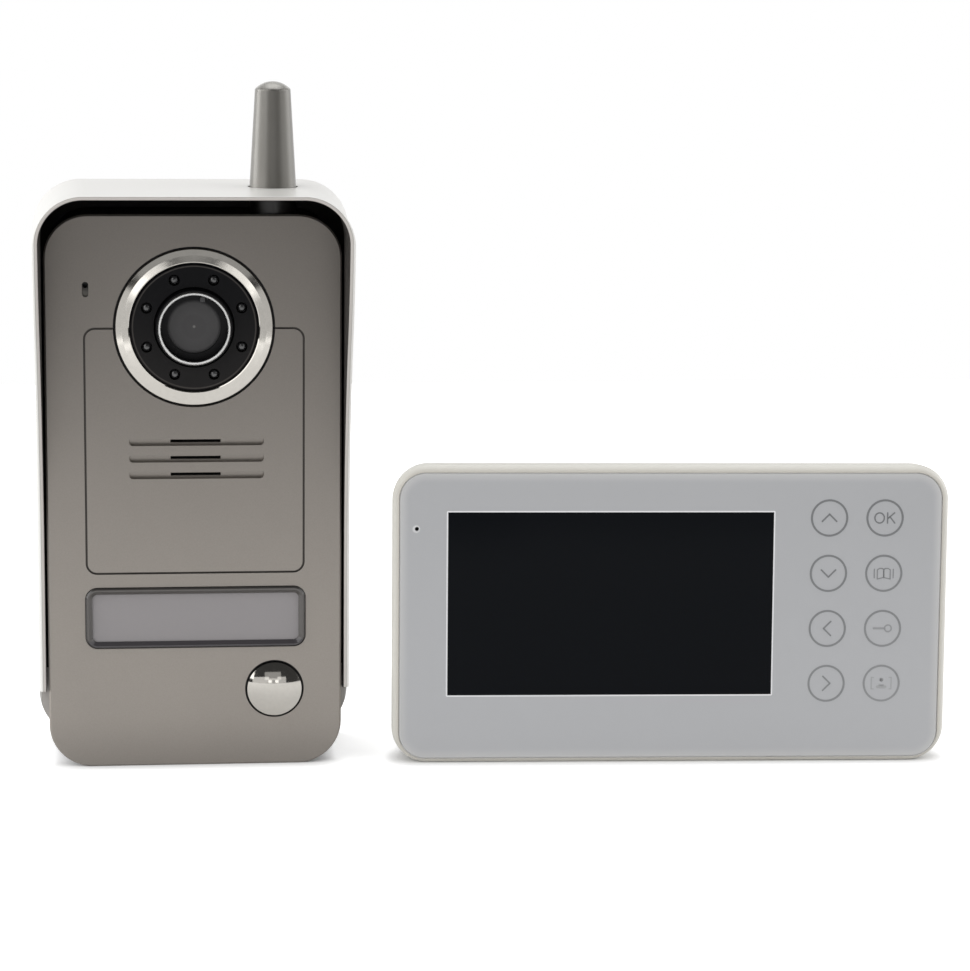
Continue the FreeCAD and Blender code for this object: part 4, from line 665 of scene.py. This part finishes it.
class INTERCOM_OT_monitor(bpy.types.Operator):
    """Finish the monitor's housing, glass, stand and door"""

    bl_idname = "intercom.monitor"
    bl_label = "Finish the monitor"

    def execute(self, context):
        colours = context.scene.intercom_colours
        sizes = context.scene.intercom_screen
        glass_foot = 1.4 * MM
        glass_half_width = 79.3 * MM
        glass_half_height = 42.025 * MM
        glass_corner = 7.7 * MM
        painted_gap_light = (0.93, 0.92, 0.89)
        microphone = Vector((-74.44 * MM, 0.0, 69.1 * MM))

        def glass_distance(tree, own):
            """Distance to the outline of the glass."""
            return plate_distance(tree, own, 0.0, glass_foot + glass_half_height,
                                  glass_half_width, glass_half_height, glass_corner)

        def rim_pattern(tree, vector):
            """Painted shade on the rim next to the glass, where its bevel turns from the light,
            and painted light on the pocket wall beside the glass.
            """
            own = monitor_vector(tree, vector)
            depth = axes_of(tree, own)["Y"]
            far = glass_distance(tree, own)
            # Painted shade: the rim turns darker and beige next to the glass.
            bevel_shade = multiply(tree, step_below(tree, far, 0.9 * MM, 1.0 * MM),
                            step_below(tree, depth, 2.0 * MM, 1.0 * MM))
            colour = blend_colours(tree, bevel_shade, tuple(colours.housing), (0.56, 0.535, 0.48))
            # Painted light: the pocket wall beside the glass is kept pale, so the narrow gap shows
            # no dark line.
            sunk = step_above(tree, depth, 0.2 * MM, 0.05 * MM)
            wall = multiply(tree, step_below(tree, far, 0.15 * MM, 0.02 * MM), sunk)
            return blend_colours(tree, wall, colour, painted_gap_light), None

        def print_pattern(tree, vector):
            """Grey print with a dark screen, its pale border line and the microphone's halo,
            lighter near its edge and towards the bottom, with painted light on its sides.
            """
            own = monitor_vector(tree, vector)
            half_width = sizes.width / 2
            half_height = sizes.height / 2
            far = plate_distance(tree, own, sizes.left + half_width, sizes.low + half_height,
                                 half_width, half_height, 0.0)
            line = step_below(tree, far, sizes.border, 0.06 * MM)
            dark = step_below(tree, far, 0.0, 0.06 * MM)
            halo = multiply(tree, step_below(tree, spot_distance(tree, own, microphone),
                                             1.1 * MM, 0.2 * MM), 0.6)
            edge_far = glass_distance(tree, own)
            inner = step_below(tree, edge_far, -1.6 * MM, 1.5 * MM)
            low = step_below(tree, axes_of(tree, own)["Z"], 40 * MM, 40 * MM)
            colour = blend_colours(tree, low, shade_of(colours.glass, 0.985),
                                   shade_of(colours.glass, 1.06))
            colour = blend_colours(tree, inner, (0.54, 0.54, 0.54), colour)
            # Painted light: the glass's sides are kept pale like the pocket wall.
            side = step_above(tree, edge_far, -0.03 * MM, 0.02 * MM)
            colour = blend_colours(tree, side, colour, painted_gap_light)
            colour = blend_colours(tree, halo, colour, (0.75, 0.75, 0.75))
            colour = blend_colours(tree, line, colour, (0.80, 0.80, 0.81))
            return blend_colours(tree, dark, colour, tuple(colours.screen)), None

        housing = make_finish("housing_plastic", colours.housing, 0.36, grain=1100.0,
                              tint=0.03, bump=0.03, painter=rim_pattern)
        for name in ("front_housing", "rear_housing", "battery_door", "fold_stand"):
            dress(name, housing)
        dress("front_glass", make_finish("printed_glass", colours.glass, 0.10,
                                         specular=0.09, tint=0.012, gloss_change=0.02, bump=0.0,
                                         painter=print_pattern))
        dress("key_rings", print_finish("key_print", 0.2))
        return {"FINISHED"}


def stroke(shape, start, end, width):
    """A flat stroke from one point to another on the glass, with round ends."""
    thick = 0.05 * MM
    a = Vector((start[0], 0.0, start[1]))
    b = Vector((end[0], 0.0, end[1]))
    length = (b - a).length
    turn = math.atan2(b.z - a.z, b.x - a.x)
    middle = (a + b) / 2
    middle.y = -thick / 2
    place = Matrix.Translation(middle) @ Matrix.Rotation(-turn, 4, "Y")
    size = Matrix.Diagonal((length, thick, width, 1.0))
    bmesh.ops.create_cube(shape, size=1.0, matrix=place @ size)
    for end_point in (a, b):
        spot = Matrix.Translation(Vector((end_point.x, -thick / 2, end_point.z)))
        bmesh.ops.create_cone(shape, cap_ends=True, segments=12, radius1=width / 2,
                              radius2=width / 2, depth=thick * 0.98,
                              matrix=spot @ Matrix.Rotation(math.radians(90), 4, "X"))


def path(shape, points, width, closed=False):
    """Strokes through a run of points."""
    for first, second in zip(points, points[1:]):
        stroke(shape, first, second, width)
    if closed:
        stroke(shape, points[-1], points[0], width)


def arc_points(middle, radius_x, radius_z, start, end, count):
    """Points along part of an ellipse, in degrees."""
    points = []
    for i in range(count + 1):
        a = math.radians(start + (end - start) * i / count)
        points.append((middle[0] + radius_x * math.cos(a), middle[1] + radius_z * math.sin(a)))
    return points


class INTERCOM_OT_symbols(bpy.types.Operator):
    """Print the symbols inside the key rings"""

    bl_idname = "intercom.symbols"
    bl_label = "Print the key symbols"

    def execute(self, context):
        sizes = context.scene.intercom_screen
        width = sizes.line
        shape = bmesh.new()

        def place(column, row, points):
            x = sizes.key_left + sizes.key_pitch * column
            z = sizes.key_top - sizes.key_pitch * row
            return [(x + u * MM, z + v * MM) for u, v in points]

        arrows = ([(-2.1, -1.0), (0, 1.1), (2.1, -1.0)], [(-2.1, 1.0), (0, -1.1), (2.1, 1.0)],
                  [(1.0, 2.1), (-1.1, 0), (1.0, -2.1)], [(-1.0, 2.1), (1.1, 0), (-1.0, -2.1)])
        for row, points in enumerate(arrows):
            path(shape, place(0, row, points), width * 1.15)

        # The letters O and K
        path(shape, place(1, 0, arc_points((-1.6, 0), 1.4, 1.5, 0, 360, 20)), width)
        path(shape, place(1, 0, [(0.75, 1.5), (0.75, -1.5)]), width)
        path(shape, place(1, 0, [(2.8, 1.5), (0.85, -0.15)]), width)
        path(shape, place(1, 0, [(1.4, 0.4), (2.9, -1.5)]), width)

        # Two leaves between two bars
        leaf = [(0, 1.2), (-0.6, 1.45), (-1.3, 1.4), (-1.9, 1.0), (-1.9, -1.7), (0, -1.25)]
        path(shape, place(1, 1, leaf), width * 0.8, closed=True)
        path(shape, place(1, 1, [(-u, v) for u, v in leaf]), width * 0.8, closed=True)
        for side in (-1, 1):
            path(shape, place(1, 1, [(side * 2.8, 1.2), (side * 2.8, -1.35)]), width * 0.8)

        # A door key
        path(shape, place(1, 2, arc_points((1.6, 0), 1.0, 1.0, 0, 360, 18)), width)
        path(shape, place(1, 2, [(0.6, 0), (-2.6, 0)]), width * 1.5)

        # A head and shoulders between two brackets
        path(shape, place(1, 3, [(-0.05, 1.0), (0.05, 1.0)]), 1.1 * MM)
        path(shape, place(1, 3, [(-1.1, -1.1), (1.1, -1.1)]), 0.9 * MM)
        path(shape, place(1, 3, [(-0.6, -0.6), (0.6, -0.6)]), 0.6 * MM)
        for side in (-1, 1):
            edge = [(side * 2.3, 1.7), (side * 2.95, 1.7), (side * 2.95, -1.7), (side * 2.3, -1.7)]
            path(shape, place(1, 3, edge), width * 0.7)

        bmesh.ops.recalc_face_normals(shape, faces=shape.faces[:])
        bmesh.ops.transform(shape, matrix=stance_matrix(), verts=shape.verts[:])
        mesh = bpy.data.meshes.new("key_symbols")
        shape.to_mesh(mesh)
        shape.free()
        piece = bpy.data.objects.new("key_symbols", mesh)
        context.scene.collection.objects.link(piece)
        mesh.materials.append(print_finish("symbol_print", 1.0))
        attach(piece, "monitor")
        return {"FINISHED"}


# What is hidden inside or on the back

class INTERCOM_OT_insides(bpy.types.Operator):
    """Finish the boards, screws and other inner pieces"""

    bl_idname = "intercom.insides"
    bl_label = "Finish the inner pieces"

    def execute(self, context):
        recipes = {
            "black_plastic": dict(colour=(0.016, 0.016, 0.017), roughness=0.5, tint=0.12),
            "rubber": dict(colour=(0.022, 0.022, 0.022), roughness=0.75, tint=0.15, bump=0.1),
            "steel": dict(colour=(0.56, 0.56, 0.55), roughness=0.32, metallic=1.0, tint=0.08),
            "brass": dict(colour=(0.70, 0.53, 0.25), roughness=0.3, metallic=1.0, tint=0.06),
            "cloth": dict(colour=(0.012, 0.012, 0.012), roughness=0.95, tint=0.3, bump=0.3,
                          grain=1800.0),
            "circuit_board": dict(colour=(0.02, 0.13, 0.05), roughness=0.4, coat=0.4,
                                  tint=0.2, grain=600.0),
            "relay_case": dict(colour=(0.02, 0.06, 0.20), roughness=0.3, tint=0.06),
            "terminal_green": dict(colour=(0.03, 0.22, 0.07), roughness=0.45, tint=0.08),
            "screen_black": dict(colour=(0.008, 0.009, 0.012), roughness=0.15, tint=0.05),
            "battery_wrap": dict(colour=(0.22, 0.24, 0.27), roughness=0.4, tint=0.08),
        }
        made = {}
        done = {"face_panel", "call_button", "camera_ring", "lamp_cover", "lens_shroud",
                "lens_ring", "light_sensor", "door_microphone", "monitor_microphone",
                "infrared_lamps", "lens_window", "name_frame", "name_window", "name_card",
                "rain_hood", "aerial_sleeve", "front_housing", "rear_housing",
                "battery_door", "fold_stand", "front_glass", "key_rings"}
        for entry in frame["record"]["subparts"]:
            name = entry["node"]
            if name in done:
                continue
            slot = entry["material_slot"]
            recipe = recipes.get(slot)
            if recipe is None:
                raise RuntimeError("No finish for the slot " + slot)
            if slot not in made:
                made[slot] = make_finish(slot + "_finish", **recipe)
            dress(name, made[slot])
        return {"FINISHED"}


# Floor, light and camera

# Each lamp's name, place, the point that it is aimed at, its width and height, and its watts.
# The low and far ones are small cards that the ring and the button mirror.
LAMPS = (
    ("soft_left", (-1.25, -0.75, 0.8), (0.0, 0.0, 0.08), 1.4, 1.4, 11.2),
    ("soft_right", (1.25, -0.55, 0.75), (0.0, 0.0, 0.08), 1.4, 1.4, 6.3),
    ("soft_top", (0.0, 0.45, 1.45), (0.0, 0.0, 0.08), 1.0, 1.0, 3.9),
    ("side_left", (-1.5, 0.3, 0.5), (-0.06, 0.0, 0.15), 0.9, 0.9, 8.0),
    ("side_right", (1.5, 0.3, 0.5), (-0.06, 0.0, 0.15), 0.9, 0.9, 4.0),
    ("soft_front", (-0.1, -2.1, 0.46), (-0.1, 0.0, 0.13), 1.1, 0.52, 0.64),
    ("low_left", (-0.35, -0.64, 0.07), (-0.35, 0.0, 0.07), 0.40, 0.13, 0.118),
    ("low_middle", (-0.065, -0.64, 0.055), (-0.065, 0.0, 0.055), 0.17, 0.10, 0.024),
    ("far_left", (-0.26, -2.0, 0.09), (-0.26, 0.0, 0.09), 0.20, 0.18, 0.14),
    ("far_right", (0.15, -2.0, 0.09), (0.15, 0.0, 0.09), 0.20, 0.18, 0.14),
    ("low_right", (0.11, -0.64, 0.07), (0.11, 0.0, 0.07), 0.18, 0.13, 0.045),
)


def soft_box(name, place, target, width, height, power):
    """A soft rectangular lamp aimed at a point."""
    lamp = bpy.data.lights.new(name, "AREA")
    lamp.shape = "RECTANGLE"
    lamp.size = width
    lamp.size_y = height
    lamp.energy = power
    holder = bpy.data.objects.new(name, lamp)
    bpy.context.scene.collection.objects.link(holder)
    holder.location = place
    aim = Vector(target) - Vector(place)
    holder.rotation_euler = aim.to_track_quat("-Z", "Y").to_euler()


def in_gloss(tree, light_path):
    """1 for rays that show the background in a mirror or through glass."""
    return maths(tree, "MAXIMUM", light_path.outputs["Is Glossy Ray"],
                 light_path.outputs["Is Transmission Ray"])


def floor_paint():
    """Pale paint that reads white to the eye and keeps the object's shadow."""
    near_edge = 0.45
    near_softness = 0.25
    near_glow = 0.58
    far_glow = 0.42
    mirror_glow = 0.15
    crevice_reach = 6 * MM
    paint = bpy.data.materials.new("floor_white")
    paint.use_nodes = True
    tree = paint.node_tree
    tree.nodes.clear()
    out = tree.nodes.new("ShaderNodeOutputMaterial")
    matt = tree.nodes.new("ShaderNodeBsdfDiffuse")
    matt.inputs["Color"].default_value = (0.80, 0.80, 0.80, 1.0)
    glow = tree.nodes.new("ShaderNodeEmission")
    light_path = tree.nodes.new("ShaderNodeLightPath")
    axes = axes_of(tree, object_vector(tree))
    away = maths(tree, "SQRT", maths(tree, "ADD", multiply(tree, axes["X"], axes["X"]),
                                     multiply(tree, axes["Y"], axes["Y"])))
    far = step_above(tree, away, near_edge, near_softness)
    to_eye = maths(tree, "ADD", multiply(tree, far, far_glow), near_glow)
    # Painted shade: the floor's glow dims in the crevice next to each object, by ambient
    # occlusion, as a contact shadow.
    crevice = tree.nodes.new("ShaderNodeAmbientOcclusion")
    crevice.inputs["Distance"].default_value = crevice_reach
    to_eye = multiply(tree, to_eye, maths(tree, "POWER", crevice.outputs["AO"], 2.0))
    shown = maths(tree, "ADD", multiply(tree, light_path.outputs["Is Camera Ray"], to_eye),
                  multiply(tree, in_gloss(tree, light_path), mirror_glow))
    tree.links.new(shown, glow.inputs["Strength"])
    both = tree.nodes.new("ShaderNodeAddShader")
    tree.links.new(matt.outputs[0], both.inputs[0])
    tree.links.new(glow.outputs[0], both.inputs[1])
    tree.links.new(both.outputs[0], out.inputs["Surface"])
    return paint


def lay_floor(scene, studio):
    """A square floor under both units."""
    shape = bmesh.new()
    bmesh.ops.create_grid(shape, x_segments=1, y_segments=1, size=studio.floor_size / 2)
    mesh = bpy.data.meshes.new("floor")
    shape.to_mesh(mesh)
    shape.free()
    floor = bpy.data.objects.new("floor", mesh)
    scene.collection.objects.link(floor)
    mesh.materials.append(floor_paint())


def hang_backdrop(scene, studio):
    """White all round to the eye; gloss shows it behind the set and a dim room in front."""
    behind_from = 0.15
    behind_softness = 0.35
    backdrop_top = 0.55
    backdrop_softness = 0.25
    world = bpy.data.worlds.new("studio")
    scene.world = world
    world.use_nodes = True
    tree = world.node_tree
    tree.nodes.clear()
    out = tree.nodes.new("ShaderNodeOutputWorld")
    sky = tree.nodes.new("ShaderNodeBackground")
    sky.inputs["Color"].default_value = (1.0, 1.0, 1.0, 1.0)
    light_path = tree.nodes.new("ShaderNodeLightPath")
    axes = axes_of(tree, tree.nodes.new("ShaderNodeTexCoord").outputs["Generated"])
    backdrop = multiply(tree, step_above(tree, axes["Y"], behind_from, behind_softness),
                        step_below(tree, axes["Z"], backdrop_top, backdrop_softness))
    mirrored = maths(tree, "ADD", multiply(tree, backdrop, 1.0 - studio.room), studio.room)
    gloss = in_gloss(tree, light_path)
    lit = maths(tree, "ADD", multiply(tree, gloss, mirrored),
                multiply(tree, maths(tree, "SUBTRACT", 1.0, gloss), studio.fill))
    strength = maths(tree, "MAXIMUM", lit, light_path.outputs["Is Camera Ray"])
    tree.links.new(strength, sky.inputs["Strength"])
    tree.links.new(sky.outputs[0], out.inputs["Surface"])


def place_camera(scene, studio):
    """The camera where the picture was taken from."""
    heading, pitch, roll = studio.heading, studio.pitch, studio.roll
    ahead = Vector((math.sin(heading) * math.cos(pitch), math.cos(heading) * math.cos(pitch),
                    -math.sin(pitch)))
    right = Vector((math.cos(heading), -math.sin(heading), 0.0))
    up = right.cross(ahead)
    rolled_right = right * math.cos(roll) + up * math.sin(roll)
    rolled_up = up * math.cos(roll) - right * math.sin(roll)
    turn = Matrix((rolled_right, rolled_up, -ahead)).transposed().to_4x4()
    lens = bpy.data.cameras.new("camera")
    lens.sensor_fit = "HORIZONTAL"
    lens.sensor_width = 36.0
    lens.lens = studio.lens
    lens.clip_start = 0.01
    eye = bpy.data.objects.new("camera", lens)
    scene.collection.objects.link(eye)
    eye.matrix_world = Matrix.Translation(Vector(studio.eye)) @ turn
    scene.camera = eye


class INTERCOM_OT_stage(bpy.types.Operator):
    """Set up the pale floor, the soft light and the camera"""

    bl_idname = "intercom.stage"
    bl_label = "Set up the stage"

    def execute(self, context):
        scene = context.scene
        scene.view_settings.view_transform = "Standard"
        lay_floor(scene, scene.intercom_studio)
        hang_backdrop(scene, scene.intercom_studio)
        for lamp in LAMPS:
            soft_box(*lamp)
        place_camera(scene, scene.intercom_studio)
        return {"FINISHED"}


class INTERCOM_PT_panel(bpy.types.Panel):
    """Lists the steps and settings"""

    bl_label = "Intercom"
    bl_idname = "INTERCOM_PT_panel"
    bl_space_type = "VIEW_3D"
    bl_region_type = "UI"
    bl_category = "Intercom"

    def draw(self, context):
        column = self.layout.column()
        for operator in STEPS:
            column.operator(operator.bl_idname)
        for name in ("intercom_stance", "intercom_screen", "intercom_colours",
                     "intercom_studio"):
            group = getattr(context.scene, name)
            for key in group.__annotations__:
                column.prop(group, key)


STEPS = (INTERCOM_OT_face, INTERCOM_OT_camera, INTERCOM_OT_name_window, INTERCOM_OT_hood,
         INTERCOM_OT_monitor, INTERCOM_OT_symbols, INTERCOM_OT_insides, INTERCOM_OT_stage)
SETTINGS = (("intercom_stance", IntercomStance), ("intercom_screen", IntercomScreen),
            ("intercom_colours", IntercomColours), ("intercom_studio", IntercomStudio))


def register():
    """Registers the settings, the steps and the panel."""
    for name, group in SETTINGS:
        bpy.utils.register_class(group)
        setattr(bpy.types.Scene, name, bpy.props.PointerProperty(type=group))
    for item in STEPS + (INTERCOM_PT_panel,):
        bpy.utils.register_class(item)


def unregister():
    """Takes all of it away again."""
    for item in reversed(STEPS + (INTERCOM_PT_panel,)):
        bpy.utils.unregister_class(item)
    for name, group in reversed(SETTINGS):
        delattr(bpy.types.Scene, name)
        bpy.utils.unregister_class(group)


def main():
    """Runs every step in order."""
    register()
    build_grain_group()
    build_plate_group()
    bpy.ops.intercom.face()
    bpy.ops.intercom.camera()
    bpy.ops.intercom.name_window()
    bpy.ops.intercom.hood()
    bpy.ops.intercom.monitor()
    bpy.ops.intercom.symbols()
    bpy.ops.intercom.insides()
    bpy.ops.intercom.stage()


if __name__ == "__main__":
    main()
